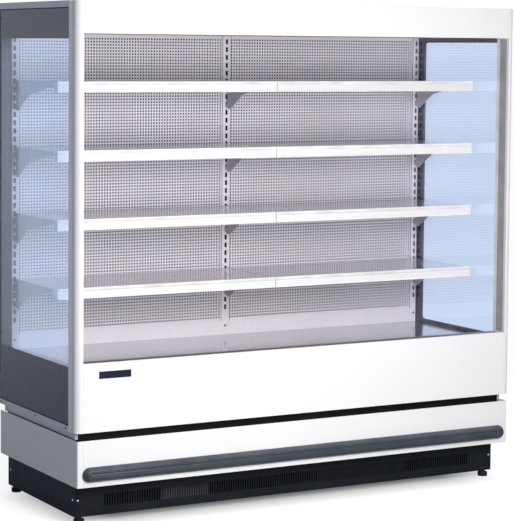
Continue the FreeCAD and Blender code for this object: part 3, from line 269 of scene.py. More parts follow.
# Sprayed paint: a faint unevenness of tone, slight changes of gloss and the orange peel.
tree, given, result = effect(
    "sprayed_paint",
    [colour_in, ("Roughness", "Float", 0.3), ("Depth", "Float", 0.05), ("Dust", "Float", 0.1)],
    surface_out)
sprayed_paint = tree
spots = places(tree)
clouds = node(tree, "TexNoise", Vector=spots, Scale=2.2, Detail=4.0).outputs[0]
flecks = node(tree, "TexNoise", Vector=spots, Scale=60.0, Detail=3.0).outputs[0]
peel = node(tree, "TexNoise", Vector=spots, Scale=320.0, Detail=1.0).outputs[0]
tone = sums(tree, "MULTIPLY", ranged(tree, clouds, 0.0, 1.0, 0.3, 0.7), given["Depth"])
tone = sums(tree, "SUBTRACT", 1.0, tone)
paint = blended(tree, 1.0, given["Color"], tone, "MULTIPLY")
gloss = sums(tree, "ADD", ranged(tree, flecks, -0.04, 0.05, 0.35, 0.65), given["Roughness"])
finished(tree, result, given, paint, gloss, peel)
relief_height, relief_strength = 0.0002, 0.6


def look(name, group, shader_values=None, **values):
    """A material whose colour, roughness and relief come from a group of nodes."""
    made = bpy.data.materials.new(name)
    made.use_nodes = True
    tree = made.node_tree
    shader = tree.nodes["Principled BSDF"]
    source = node(tree, "Group", {"node_tree": group}, **values)
    tree.links.new(source.outputs["Color"], shader.inputs["Base Color"])
    tree.links.new(source.outputs["Roughness"], shader.inputs["Roughness"])
    bump = node(tree, "Bump", Height=source.outputs["Height"], Distance=relief_height,
                Strength=relief_strength)
    tree.links.new(bump.outputs["Normal"], shader.inputs["Normal"])
    for label, value in (shader_values or {}).items():
        shader.inputs[label].default_value = value
    return made


def dress(material, *nodes):
    """Give CAD nodes a finish."""
    for name in nodes:
        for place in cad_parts[name].material_slots:
            place.material = material


# Near black: the frame's own dark paint, darkened further as painted shade for the shadow gap.
base_paint = look("base_paint", sprayed_paint, Color=(0.006, 0.0065, 0.008, 1), Roughness=0.5,
                  Depth=0.2, Dust=0.1, shader_values={"Specular IOR Level": 0.1})
dress(base_paint, "base_frame")

# Levelling feet. Each is moulded in black nylon: a round pad, a hexagon collar for a spanner
# and a threaded stud that screws up into a leg of the base. All four turn on their studs.

pad_radius, pad_height, neck_radius, neck_top = 0.0200, 0.0180, 0.0095, 0.0390
collar_low, collar_high, collar_radius, collar_edge = 0.0220, 0.0360, 0.0110, 0.0012
thread_core, thread_crest, thread_pitch, thread_turns = 0.0044, 0.0049, 0.003, 24

# Moulded plastic: a fine grain, slow changes of tone where the melt flowed, and dust.
tree, given, result = effect(
    "moulded_grain",
    [colour_in, ("Roughness", "Float", 0.5), ("Dust", "Float", 0.2)], surface_out)
moulded_grain = tree
spots = places(tree)
grain = node(tree, "TexVoronoi", Vector=spots, Scale=900.0).outputs["Distance"]
flow = node(tree, "TexNoise", Vector=spots, Scale=14.0, Detail=3.0).outputs[0]
tinted = node(tree, "HueSaturation", Color=given["Color"],
              Value=ranged(tree, flow, 0.9, 1.1, 0.3, 0.7)).outputs[0]
gloss = sums(tree, "ADD", given["Roughness"], ranged(tree, flow, -0.05, 0.05, 0.3, 0.7))
finished(tree, result, given, tinted, gloss, grain)


def turned(form, section, centre, axis, steps=32):
    """A section of (radius, along the axis) points turned once round the axis."""
    along = Vector(axis).normalized()
    out = along.orthogonal().normalized()
    line = [form.verts.new(Vector(centre) + out * r + along * h) for r, h in section]
    edges = [form.edges.new(pair) for pair in zip(line, line[1:])]
    bmesh.ops.spin(form, geom=line + edges, cent=centre, axis=along, dvec=(0, 0, 0),
                   angle=math.tau, steps=steps, use_merge=True, use_duplicate=False)
    bmesh.ops.remove_doubles(form, verts=form.verts, dist=0.00001)


def piece(name, form, material, body, slot, *replaced):
    """Make a mesh a piece that rides on a body and stands for CAD nodes."""
    bmesh.ops.recalc_face_normals(form, faces=form.faces)
    mesh = bpy.data.meshes.new(name)
    form.to_mesh(mesh)
    form.free()
    mesh.materials.append(material)
    mesh.shade_smooth()
    mesh.set_sharp_from_angle(angle=math.radians(40))
    made = bpy.data.objects.new(name, mesh)
    scene.collection.objects.link(made)
    flat = made.modifiers.new("flat_faces", "WEIGHTED_NORMAL")
    flat.keep_sharp = True
    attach(made, body)
    if replaced:
        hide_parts(*replaced)


nylon = look("black_nylon", moulded_grain, Color=(0.006, 0.006, 0.007, 1), Roughness=0.55,
             Dust=0.15, shader_values={"Specular IOR Level": 0.15})
foot_pad = [(0, 0), (pad_radius - 0.0012, 0), (pad_radius, 0.0012),
            (pad_radius, pad_height - 0.0030), (pad_radius - 0.0009, pad_height - 0.0009),
            (pad_radius - 0.0030, pad_height), (0.0120, pad_height),
            (0.0102, pad_height + 0.0008), (neck_radius, pad_height + 0.0030),
            (neck_radius, neck_top), (0, neck_top)]
collar = [(0, collar_low), (collar_radius - collar_edge, collar_low),
          (collar_radius, collar_low + collar_edge), (collar_radius, collar_high - collar_edge),
          (collar_radius - collar_edge, collar_high), (0, collar_high)]
stud = [(0, neck_top)]
for turn_of_thread in range(thread_turns):
    rise = neck_top + 0.0005 + turn_of_thread * thread_pitch
    stud += [(thread_core, rise), (thread_crest, rise + thread_pitch / 2)]
for foot in ("foot_front_left", "foot_front_right", "foot_rear_left", "foot_rear_right"):
    low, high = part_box(foot)
    centre = (low + high) / 2
    centre.z = 0
    form = bmesh.new()
    turned(form, foot_pad, centre, (0, 0, 1))
    turned(form, collar, centre, (0, 0, 1), steps=6)
    turned(form, stud + [(0, high.z)], centre, (0, 0, 1), steps=16)
    piece(foot + "_turned", form, nylon, foot, "foot_plastic", foot)

# Kick plates. Blue-black powder-coated sheet screwed to the base; the front one is punched
# with a long row of upright slots that let air through to the condenser.

kick_paint = look("kick_paint", sprayed_paint, Color=(0.0078, 0.0101, 0.0143, 1), Roughness=0.42,
                  Depth=0.25, Dust=0.12, shader_values={"Specular IOR Level": 0.10})
dress(kick_paint, "kick_plate_front", "kick_plate_left", "kick_plate_right")

# Lower covers. White stove-enamelled sheet in three parts: a flat front one, and one at each
# side that wraps round the front corner. They hook under the rails of the base.

cover_fold = 0.0006


def merged(name):
    """A copy of a CAD node's mesh with its flat faces made whole."""
    form = bmesh.new()
    form.from_mesh(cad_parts[name].data)
    bmesh.ops.remove_doubles(form, verts=form.verts, dist=0.000005)
    bmesh.ops.dissolve_limit(form, angle_limit=math.radians(0.5), verts=form.verts,
                             edges=form.edges)
    return form


def rounded(form, edges, width, steps):
    """Bevel edges by a width, in steps."""
    bmesh.ops.bevel(form, geom=edges, offset=width, offset_type="OFFSET", segments=steps,
                    profile=0.5, affect="EDGES", clamp_overlap=True, material=-1)


def eased(form, width, steps=2, least=40):
    """Round the sharp edges of a form a little, as folding and paint leave them."""
    sharp = [e for e in form.edges if len(e.link_faces) == 2
             and e.calc_face_angle(0) > math.radians(least)]
    rounded(form, sharp, width, steps)
    return form


def enamelled(name, ending, fold):
    """A CAD sheet with softened folds, in white enamel."""
    piece(name + ending, eased(merged(name), fold), white_enamel, "cabinet", "white_paint", name)


white_enamel = look("white_enamel", sprayed_paint, Color=(0.875, 0.855, 0.86, 1), Roughness=0.34,
                    Depth=0.035, Dust=0.10,
                    shader_values={"Coat Weight": 0.25, "Coat Roughness": 0.12})
for name in ("lower_front_cover", "lower_cover_left", "lower_cover_right"):
    enamelled(name, "_sheet", cover_fold)

# Bumper. A ridged slate-grey rail of extruded plastic, clipped to the front cover, with a
# moulded half-round cap at each end whose inner ring carries the ridges round.

bumper_plastic = look("bumper_plastic", moulded_grain, Color=(0.036, 0.046, 0.058, 1),
                      Roughness=0.36, Dust=0.25, shader_values={"Specular IOR Level": 0.45})
low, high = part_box("bumper_rail")
middle = (low.z + high.z) / 2
radius = (high.z - low.z) / 2
back = high.y
proud = back - low.y
rail_end = high.x - radius
hub = 0.00005

# Each point is its distance from the rail's middle line and how far it lies behind the crown.
ridges = [(hub, 0.0008), (0.0016, 0.0002), (0.0033, 0.0008), (0.0042, 0.0030),
          (0.0052, 0.0030), (0.0062, 0.0006), (0.0088, 0.0), (0.0114, 0.0006),
          (0.0124, 0.0030), (0.0134, 0.0030), (0.0144, 0.0008)]
cap_ridges = [(hub, 0.0004), (0.0088, 0.0), (0.0114, 0.0006), (0.0124, 0.0026),
              (0.0134, 0.0026), (0.0144, 0.0004)]
shoulder = [(0.0172, 0.0014), (0.0205, 0.0048), (0.0235, 0.0095), (0.0258, 0.0140),
            (radius, 0.0170), (radius, proud)]
half_section = [(r, proud - sunk) for r, sunk in ridges + shoulder]
cap_section = [(r, proud - sunk) for r, sunk in cap_ridges + shoulder]


def drawn_out(form, corners, length):
    """Draw a closed section out along X; the corners of the far end are returned."""
    grown = bmesh.ops.extrude_face_region(form, geom=[form.faces.new(corners)])["geom"]
    moved = [v for v in grown if isinstance(v, bmesh.types.BMVert)]
    bmesh.ops.translate(form, vec=(length, 0, 0), verts=moved)
    return moved


form = bmesh.new()
section = [form.verts.new((-rail_end, back - out, middle + r)) for r, out in half_section]
section += [form.verts.new((-rail_end, back - out, middle - r))
            for r, out in reversed(half_section)]
drawn_out(form, section, 2 * rail_end)
piece("bumper_extrusion", form, bumper_plastic, "cabinet", "bumper_plastic", "bumper_rail")
for side, label in ((-1, "left"), (1, "right")):
    form = bmesh.new()
    end = side * rail_end
    line = [form.verts.new((end, back - out, middle + r)) for r, out in cap_section]
    line.append(form.verts.new((end, back, middle + hub)))
    edges = [form.edges.new(pair) for pair in zip(line, line[1:])]
    edges.append(form.edges.new((line[-1], line[0])))
    bmesh.ops.spin(form, geom=line + edges, cent=(end, back, middle), axis=(0, 1, 0),
                   angle=side * math.pi, steps=28, use_duplicate=False)
    bmesh.ops.holes_fill(form, edges=form.edges, sides=0)
    piece("bumper_cap_" + label, form, bumper_plastic, "cabinet", "bumper_plastic")

# Tank. Foam-filled floor, front wall, rear wall and roof. The inside is white-grey sheet; the
# back and the roof are closed with galvanised sheets side by side, blind-riveted round.

# Rolled sheet metal: spangle in flakes, streaks along the rolling, and dust.
tree, given, result = effect(
    "rolled_sheet",
    [colour_in, ("Roughness", "Float", 0.35), ("Spangle", "Float", 0.1), ("Dust", "Float", 0.1)],
    surface_out)
rolled_sheet = tree
spots = places(tree)
flakes = node(tree, "TexVoronoi", Vector=spots, Scale=70.0, Randomness=1.0)
shade = node(tree, "SeparateColor", Color=flakes.outputs["Color"]).outputs[0]
rolled = node(tree, "Mapping", Vector=spots, Scale=(0.4, 60, 60)).outputs[0]
streaks = node(tree, "TexNoise", Scale=5.0, Detail=6.0, Vector=rolled).outputs[0]
change = sums(tree, "MULTIPLY", ranged(tree, shade, -1.0, 1.0), given["Spangle"])
change = sums(tree, "ADD", change, ranged(tree, streaks, 0.97, 1.03, 0.3, 0.7))
tinted = node(tree, "HueSaturation", Color=given["Color"], Value=change).outputs[0]
gloss = sums(tree, "ADD", given["Roughness"], ranged(tree, streaks, -0.05, 0.05, 0.3, 0.7))
finished(tree, result, given, tinted, gloss, streaks)

galvanised = look("galvanised", rolled_sheet, Color=(0.56, 0.57, 0.58, 1), Roughness=0.42,
                  Spangle=0.14, Dust=0.35, shader_values={"Metallic": 0.75})
liner_paint = look("liner_paint", sprayed_paint, Color=(0.90, 0.84, 0.90, 1), Roughness=0.30,
                   Depth=0.04, Dust=0.10,
                   shader_values={"Coat Weight": 0.2, "Coat Roughness": 0.1})
# A near-black sheet that is painted shade: the dark duct behind holes, slots and vents.
painted_shade_sheet = look("painted_shade_sheet", rolled_sheet, Color=(0.016, 0.016, 0.018, 1), Roughness=0.6,
                  Spangle=0.1, Dust=0.0, shader_values={"Specular IOR Level": 0.1})
dress(white_enamel, "tank_floor")
dress(liner_paint, "tank_front_wall")

skin, rivet_head = 0.0010, 0.0008
sheet_gap, sheet_margin, sheet_edge = 0.0012, 0.001, 0.0004
rivet_edge, rivet_spacing, rivets_across = 0.014, 0.24, 5
rivet = [(0, rivet_head), (0.0014, 0.0007), (0.0026, 0.0003), (0.0030, 0.0), (0, 0.0)]


def bar(form, low, high, edge=0.0004):
    """A straight bar or sheet between two corners, its edges eased."""
    low, high = Vector(low), Vector(high)
    made = bmesh.ops.create_cube(form, size=1.0)["verts"]
    bmesh.ops.scale(form, vec=high - low, verts=made)
    bmesh.ops.translate(form, vec=(low + high) / 2, verts=made)
    if edge:
        rounded(form, list({e for v in made for e in v.link_edges}), edge, 1)


def riveted_skin(name, node_name, axis, count, core_finish):
    """A foam-filled wall closed on its outside by a row of sheets with rivets round each."""
    low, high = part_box(node_name)
    form = bmesh.new()
    core = high.copy()
    core[axis] -= skin + rivet_head
    bar(form, low, core, 0.0)
    piece(name + "_core", form, core_finish, "cabinet", "frame_paint", node_name)
    other = 3 - axis
    form = bmesh.new()
    width = (high.x - low.x) / count
    facing = Vector((0, 0, 0))
    facing[axis] = 1
    for i in range(count):
        a, b = low.copy(), high.copy()
        a.x = low.x + i * width + sheet_gap
        b.x = low.x + (i + 1) * width - sheet_gap
        a[other] += sheet_margin
        b[other] -= sheet_margin
        a[axis] = high[axis] - skin - rivet_head
        b[axis] = high[axis] - rivet_head
        bar(form, a, b, sheet_edge)
        rows = max(3, round((b[other] - a[other]) / rivet_spacing))
        first = a + Vector((rivet_edge, rivet_edge, rivet_edge))
        stretch = b - a - 2 * Vector((rivet_edge, rivet_edge, rivet_edge))
        for x in range(rivets_across):
            for y in range(rows):
                if x in (0, rivets_across - 1) or y in (0, rows - 1):
                    at = Vector((first.x + x * stretch.x / (rivets_across - 1), 0, 0))
                    at[other] = first[other] + y * stretch[other] / (rows - 1)
                    at[axis] = high[axis] - rivet_head
                    turned(form, rivet, at, facing, steps=10)
    piece(name + "_sheets", form, galvanised, "cabinet", "frame_paint")


# The rear wall's face, seen through the back panels' holes, is the near-black sheet: painted
# shade.
riveted_skin("rear_wall", "rear_wall", 1, 3, painted_shade_sheet)
riveted_skin("roof", "roof_body", 2, 2, galvanised)

# Machinery. In the base: a black compressor on rubber mounts, the condenser with its fan in
# a shroud, bare copper pipes, the electrical box and the drain tray. In the tank: the finned
# evaporator and its two fans on a galvanised plate, and the rail that carries the deck.

black_paint = look("black_paint", sprayed_paint, Color=(0.012, 0.012, 0.013, 1), Roughness=0.35,
                   Depth=0.2, Dust=0.4, shader_values={"Specular IOR Level": 0.4})
copper = look("copper", rolled_sheet, Color=(0.78, 0.40, 0.25, 1), Roughness=0.28, Spangle=0.05,
              Dust=0.3, shader_values={"Metallic": 1.0})
fin_metal = look("fin_metal", rolled_sheet, Color=(0.72, 0.73, 0.74, 1), Roughness=0.32,
                 Spangle=0.03, Dust=0.1, shader_values={"Metallic": 1.0})
box_plastic = look("box_plastic", moulded_grain, Color=(0.10, 0.10, 0.11, 1), Roughness=0.5,
                   Dust=0.3)
# The condenser coil is black and its shroud near-black, partly as painted shade seen through the
# kick plate's slots.
dress(black_paint, "compressor", "condenser_coil", "evaporator_motors")
dress(painted_shade_sheet, "condenser_shroud")
dress(copper, "refrigerant_pipes")
dress(fin_metal, "evaporator_coil")
dress(box_plastic, "electrical_box", "drain_tray")
dress(nylon, "condenser_fan", "evaporator_fan_left", "evaporator_fan_right")
dress(galvanised, "fan_plate", "deck_support_rail")

# End walls. A rounded post of folded white steel and three flat bars hold double glazing in
# rubber gaskets; a dark border on the outer pane leaves a window. A grey strip, which is painted
# shade, and a pale plastic strip line the post's inner side, and a pale lip covers its outer
# side.

post_fold = 0.0006
strip_low, strip_high, strip_half, strip_edge = 0.612, 1.808, 0.0005, 0.0002
profile_front, profile_rear, gasket_rear = 0.014, 0.059, 0.0795
lip_front, lip_rear, lip_half = 0.0335, 0.0665, 0.0004
lip_margin, lip_edge = 0.0005, 0.0001
cover_width, cover_rear_gap, cover_low, cover_high = 0.099, 0.002, 0.592, 1.793
cover_front, cover_back = 0.0038, 0.0041
seal_width, seal_thick, seal_start, seal_edge = 0.0038, 0.0010, 0.0102, 0.0002
posts = ((-1, "end_post_left"), (1, "end_post_right"))
panes = ((-1, "end_glass_left"), (1, "end_glass_right"))

for side, name in posts:
    enamelled(name, "_folded", post_fold)
# The grey strip on the post's inner side is painted shade.
post_strip_painted_shade = look("post_strip_painted_shade", moulded_grain, Color=(0.42, 0.415, 0.44, 1), Roughness=0.45,
                    Dust=0.0, shader_values={"Specular IOR Level": 0.3})
pale_gasket = look("pale_gasket", moulded_grain, Color=(0.90, 0.91, 0.95, 1), Roughness=0.4,
                   Dust=0.0)
for side, name in posts:
    low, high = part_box(name)
    inner = high.x if side < 0 else low.x
    for label, start, end, material in (
            ("_profile", profile_front, profile_rear, post_strip_painted_shade),
            ("_gasket", profile_rear, gasket_rear, pale_gasket)):
        form = bmesh.new()
        bar(form, (inner - strip_half, low.y + start, strip_low),
            (inner + strip_half, low.y + end, strip_high), strip_edge)
        piece(name + label, form, material, "cabinet", "frame_paint")
pale_lip = look("pale_lip", sprayed_paint, Color=(0.86, 0.87, 0.93, 1), Roughness=0.3,
                Depth=0.04, Dust=0.0,
                shader_values={"Coat Weight": 0.9, "Coat Roughness": 0.08})
for side, name in posts:
    low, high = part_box(name)
    outer = low.x if side < 0 else high.x
    form = bmesh.new()
    bar(form, (outer - lip_half, low.y + lip_front, low.z + lip_margin),
        (outer + lip_half, low.y + lip_rear, high.z - lip_margin), lip_edge)
    piece(name + "_lip", form, pale_lip, "cabinet", "frame_paint")
# The end frames' paint is the white greyed and blued: painted shade, a shaded copy of the white.
frame_paint = look("frame_paint", sprayed_paint, Color=(0.66, 0.68, 0.76, 1), Roughness=0.34,
                   Depth=0.04, Dust=0.10,
                   shader_values={"Coat Weight": 0.2, "Coat Roughness": 0.12})
dress(frame_paint, "end_frame_left", "end_frame_right")

# Blue-tinted glass with faint wiping marks. Its reflection is that of a clear coat, and the
# lamps' light passes it with a paler tint.
glass_tint, wiped_tint = (0.80, 0.875, 0.990, 1), (0.81, 0.882, 0.995, 1)
light_through = (0.84, 0.88, 0.94, 1)
glass = bpy.data.materials.new("tinted_glass")
glass.use_nodes = True
tree = glass.node_tree
shader = tree.nodes["Principled BSDF"]
wipe = node(tree, "TexNoise", Scale=3.0, Detail=5.0, Vector=places(tree)).outputs[0]
tint = blended(tree, ranged(tree, wipe, 0.0, 1.0, 0.35, 0.65), glass_tint, wiped_tint)
tree.links.new(tint, shader.inputs["Base Color"])
tree.links.new(ranged(tree, wipe, 0.0, 0.012, 0.5, 0.8), shader.inputs["Roughness"])
for label, value in (("Transmission Weight", 1.0), ("IOR", 1.02), ("Coat Weight", 1.0),
                     ("Coat IOR", 1.5), ("Coat Roughness", 0.01)):
    shader.inputs[label].default_value = value
clear = node(tree, "BsdfTransparent", Color=light_through)
through = node(tree, "MixShader", i0=node(tree, "LightPath").outputs["Is Shadow Ray"],
               i1=shader.outputs[0], i2=clear.outputs[0])
tree.links.new(through.outputs[0], tree.nodes["Material Output"].inputs["Surface"])
dress(glass, "end_glass_left", "end_glass_right")
border_colour, cover_colour = (0.010, 0.017, 0.028, 1), (0.24, 0.26, 0.35, 1)
border = look("glass_border", sprayed_paint, Color=border_colour, Roughness=0.30, Depth=0.3,
              Dust=0.0, shader_values={"Specular IOR Level": 0.3})
dress(border, "end_border_left", "end_border_right")

# The cover of the spacer along the rear edge is a grey that stands for a pale wall in shade, with
# painted light that grows upwards and painted shade that takes it dark at its top.
spacer_painted_light = look("spacer_painted_light", sprayed_paint, Roughness=0.5, Depth=0.2, Dust=0.0,
                   shader_values={"Specular IOR Level": 0.2})
tree = spacer_painted_light.node_tree
height = node(tree, "SeparateXYZ", Vector=places(tree)).outputs["Z"]
painted_light_and_shade = sums(tree, "MULTIPLY", ranged(tree, height, 0.45, 1.0, 0.60, 1.68),
            ranged(tree, height, 1.0, 0.0, 1.70, 1.79))
coated = next(n for n in tree.nodes if n.type == "GROUP")
tree.links.new(blended(tree, painted_light_and_shade, border_colour, cover_colour), coated.inputs["Color"])
for side, name in panes:
    low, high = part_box(name)
    outer = low.x if side < 0 else high.x
    x0, x1 = sorted((outer - side * cover_front, outer - side * cover_back))
    form = bmesh.new()
    bar(form, (x0, high.y - cover_width, cover_low), (x1, high.y - cover_rear_gap, cover_high), 0)
    piece(name.replace("glass", "spacer") + "_cover", form, spacer_painted_light, "cabinet",
          "glass_border")
gasket_rubber = look("gasket_rubber", moulded_grain, Color=(0.006, 0.008, 0.012, 1),
                     Roughness=0.6, Dust=0.0, shader_values={"Specular IOR Level": 0.15})
for side, name in panes:
    low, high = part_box(name)
    outer = low.x if side < 0 else high.x
    x0, x1 = sorted((outer, outer + side * seal_thick))
    start = low.y + seal_start
    form = bmesh.new()
    bar(form, (x0, start, high.z - seal_width), (x1, high.y, high.z), seal_edge)
    bar(form, (x0, start, low.z), (x1, high.y, low.z + seal_width), seal_edge)
    bar(form, (x0, high.y - seal_width, low.z + seal_width),
        (x1, high.y, high.z - seal_width), seal_edge)
    piece(name.replace("glass", "glazing") + "_gasket", form, gasket_rubber, "cabinet",
          "glass_border")

# Front panel, fascia and name plate. White enamelled sheet, folded back at its edges; the
# plate is a small dark blue one with nothing on it, glued on.

panel_fold, plate_edge = 0.0007, 0.0005
for name in ("front_panel", "fascia"):
    enamelled(name, "_sheet", panel_fold)
plate_blue = look("plate_blue", moulded_grain, Color=(0.006, 0.008, 0.030, 1), Roughness=0.30,
                  Dust=0.0, shader_values={"Specular IOR Level": 0.2})
piece("name_plate_blank", eased(merged("name_plate"), plate_edge, 3), plate_blue, "cabinet",
      "plate_blue", "name_plate")

# Back panels and uprights. Grey-white enamelled sheet punched all over with round air holes,
# one to a bay, between folded uprights with slots for the shelf brackets.

bay = 0.9375
ledge = 0.024
panel_steel = 0.0012
column_pitch, row_pitch, hole_radius = 0.01213, 0.01208, 0.0038
columns, rows = 74, 96
lowest_hole = 0.6476
slot_line_to_hole = 0.0227
near, least_margin = 0.0001, 0.0005


def perforated(name, x0, x1, first, count, node_name):
    """Half of a bay's panel: a cell with one hole, repeated across and up, with plain margins."""
    low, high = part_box(node_name)
    face = low.y + ledge
    form = bmesh.new()
    bmesh.ops.create_grid(form, x_segments=2, y_segments=2, size=0.5)
    middle = [v for v in form.verts if v.co.length < near]
    bmesh.ops.delete(form, geom=middle, context="VERTS")
    bmesh.ops.scale(form, vec=(column_pitch, row_pitch, 1), verts=form.verts)
    bmesh.ops.create_circle(form, cap_ends=False, segments=8, radius=hole_radius)
    bmesh.ops.bridge_loops(form, edges=form.edges[:])
    upright = Matrix.Rotation(math.pi / 2, 3, "X")
    bmesh.ops.rotate(form, cent=(0, 0, 0), matrix=upright, verts=form.verts)
    bmesh.ops.translate(form, vec=(first, face, lowest_hole), verts=form.verts)
    for step, times in ((Vector((column_pitch, 0, 0)), count), (Vector((0, 0, row_pitch)), rows)):
        cell = form.verts[:] + form.edges[:] + form.faces[:]
        for i in range(1, times):
            copied = bmesh.ops.duplicate(form, geom=cell)["geom"]
            moved = [v for v in copied if isinstance(v, bmesh.types.BMVert)]
            bmesh.ops.translate(form, vec=step * i, verts=moved)
    bmesh.ops.remove_doubles(form, verts=form.verts, dist=near)
    for axis, sign, end in ((0, -1, x0), (0, 1, x1), (2, -1, low.z), (2, 1, high.z)):
        edge = (min if sign < 0 else max)(v.co[axis] for v in form.verts)
        rim = [e for e in form.edges if e.is_boundary
               and all(abs(v.co[axis] - edge) < near for v in e.verts)]
        moved = {v for e in rim for v in e.verts}
        if sign * (end - edge) > least_margin:
            grown = bmesh.ops.extrude_edge_only(form, edges=rim)["geom"]
            moved = [v for v in grown if isinstance(v, bmesh.types.BMVert)]
        for v in moved:
            v.co[axis] = end
    bmesh.ops.recalc_face_normals(form, faces=form.faces)
    bmesh.ops.solidify(form, geom=form.faces[:], thickness=panel_steel)
    piece(name, form, liner_paint, "cabinet", "liner_steel", node_name)


for node_name, slot_line in (("back_panel_left", -bay), ("back_panel_right", 0.0)):
    low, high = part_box(node_name)
    first = slot_line + slot_line_to_hole
    centre = first + (columns / 2 - 0.5) * column_pitch
    perforated(node_name + "_near", low.x, centre, first, columns // 2, node_name)
    perforated(node_name + "_far", centre, high.x, centre + column_pitch / 2, columns // 2,
               node_name)
dress(liner_paint, "upright_left", "upright_centre", "upright_right")

# A dark strip runs up each side of a panel as a painted shadow line, and another closes the slots
# from behind as painted shade.
shade_line_across, shade_line_foot, shade_line_head = 0.002, 0.633, 0.001
shade_line_proud_of_face, shade_line_in_panel, shade_line_round = 0.0018, 0.0002, 0.0003
slot_shade_foot, slot_shade_top, slot_shade_inset = 0.585, 1.84, 0.003
slot_shade_front, slot_shade_thick, slot_shade_edge = 0.0105, 0.0010, 0.0002
upright_screw_height, upright_screw_length = 0.6125, 0.006
form = bmesh.new()
for node_name in ("back_panel_left", "back_panel_right"):
    low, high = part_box(node_name)
    face = low.y + ledge
    for x in (low.x, high.x - shade_line_across):
        bar(form, (x, face - shade_line_proud_of_face, shade_line_foot),
            (x + shade_line_across, face + shade_line_in_panel, high.z - shade_line_head), shade_line_round)
piece("back_panel_shade_lines", form, painted_shade_sheet, "cabinet", "liner_steel")
dark_screw = look("dark_screw", rolled_sheet, Color=(0.06, 0.06, 0.07, 1), Roughness=0.35,
                  Spangle=0.02, Dust=0.0, shader_values={"Metallic": 0.8})
button_head = [(0, 0.0009), (0.0014, 0.0009), (0.0017, 0.0019), (0.0028, 0.0018),
               (0.0039, 0.0012), (0.0045, 0.0003), (0.0045, 0.0)]


def screw(form, seat, outward, length):
    """A button-headed screw with its recess, and its shank in the sheet."""
    shank = 0.002
    turned(form, button_head + [(shank, 0.0), (shank, -length), (0, -length)], seat, outward,
           steps=20)


# Behind each upright's slots a dark strip is painted shade.
slot_shade, heads = bmesh.new(), bmesh.new()
for node_name, x in (("upright_left", -bay), ("upright_centre", 0.0), ("upright_right", bay)):
    low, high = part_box(node_name)
    front = low.y + slot_shade_front
    bar(slot_shade, (low.x + slot_shade_inset, front, slot_shade_foot),
        (high.x - slot_shade_inset, front + slot_shade_thick, slot_shade_top), slot_shade_edge)
    screw(heads, (x, low.y, upright_screw_height), (0, -1, 0), upright_screw_length)
piece("upright_slot_shade", slot_shade, painted_shade_sheet, "cabinet", "liner_steel")
piece("upright_screws", heads, dark_screw, "cabinet", "screw_steel")

# Canopy. The soffit sheet under the roof, painted a grey that is painted shade, and the plastic
# honeycomb behind the fascia that straightens the falling curtain of cold air.

# The soffit's grey is painted shade under the canopy.
soffit_painted_shade = look("soffit_painted_shade", sprayed_paint, Color=(0.32, 0.31, 0.33, 1), Roughness=0.4,
                    Depth=0.06, Dust=0.0)
dress(soffit_painted_shade, "canopy_soffit")
cell_plastic = look("cell_plastic", moulded_grain, Color=(0.36, 0.36, 0.38, 1), Roughness=0.5,
                    Dust=0.0)
dress(cell_plastic, "air_honeycomb")

# Deck and return grille. Each bay has a bright steel tray that lifts out, and the air goes
# back down through a fine slotted plastic grille behind the front panel.

tray_edge = 0.0005
deck_steel = look("deck_steel", rolled_sheet, Color=(0.55, 0.54, 0.56, 1), Roughness=0.12,
                  Spangle=0.01, Dust=0.04, shader_values={"Metallic": 0.85})
for name in ("deck_panel_left", "deck_panel_right"):
    piece(name + "_tray", eased(merged(name), tray_edge), deck_steel, name, "deck_steel", name)
grille_plastic = look("grille_plastic", moulded_grain, Color=(0.30, 0.30, 0.31, 1),
                      Roughness=0.45, Dust=0.1)
dress(grille_plastic, "return_grille")

# Shelves. A satin steel tray folded down all round lies on two grey steel brackets, hooked
# into the uprights. Its front carries a moulded ticket rail with a card strip and end caps.

sheet, drop, flange, inset = 0.0015, 0.003, 0.020, 0.0039
fold_foot, overlap, fold_edge = 0.001, 0.0005, 0.0005
rail_thick, rail_foot, rail_edge = 0.005, 0.004, 0.0006
groove_top, groove_floor_top, groove_floor_low, groove_low = 0.0064, 0.0066, 0.0076, 0.0078
groove_depth, land_low = 0.0026, 0.0086
recess_top, recess_slope, recess_low = 0.011, 0.0030, 0.0062
recess_lip, recess_foot, recess_depth = 0.0012, 0.0030, 0.0034
card_front, card_rear, card_inset = 0.0025, 0.0033, 0.001
card_foot, card_head = 0.0058, 0.0032
cap, cap_depth, cap_hollow, cap_steps, cap_edge = 0.002, 0.043, 0.006, 8, 0.0005
bracket_edge = 0.0005

bracket_paint = look("bracket_paint", sprayed_paint, Color=(0.53, 0.53, 0.56, 1), Roughness=0.35,
                     Depth=0.06, Dust=0.05)
piece("shelf_bracket_plates", eased(merged("shelf_brackets"), bracket_edge, 1), bracket_paint,
      "cabinet", "bracket_paint", "shelf_brackets")
shelf_steel = look("shelf_steel", rolled_sheet, Color=(0.62, 0.60, 0.64, 1), Roughness=0.18,
                   Spangle=0.01, Dust=0.04, shader_values={"Metallic": 0.8})
rail_plastic = look("rail_plastic", moulded_grain, Color=(0.86, 0.85, 0.85, 1), Roughness=0.35,
                    Dust=0.05)
card = look("ticket_card", sprayed_paint, Color=(0.84, 0.83, 0.83, 1), Roughness=0.6, Depth=0.02,
            Dust=0.0)


def profile(form, outline, x0, x1, edge):
    """A section of (depth, height) points drawn out from x0 to x1, its edges eased."""
    corners = [form.verts.new((x0, y, z)) for y, z in outline]
    moved = drawn_out(form, corners, x1 - x0)
    rounded(form, list({e for v in corners + moved for e in v.link_edges}), edge, 2)


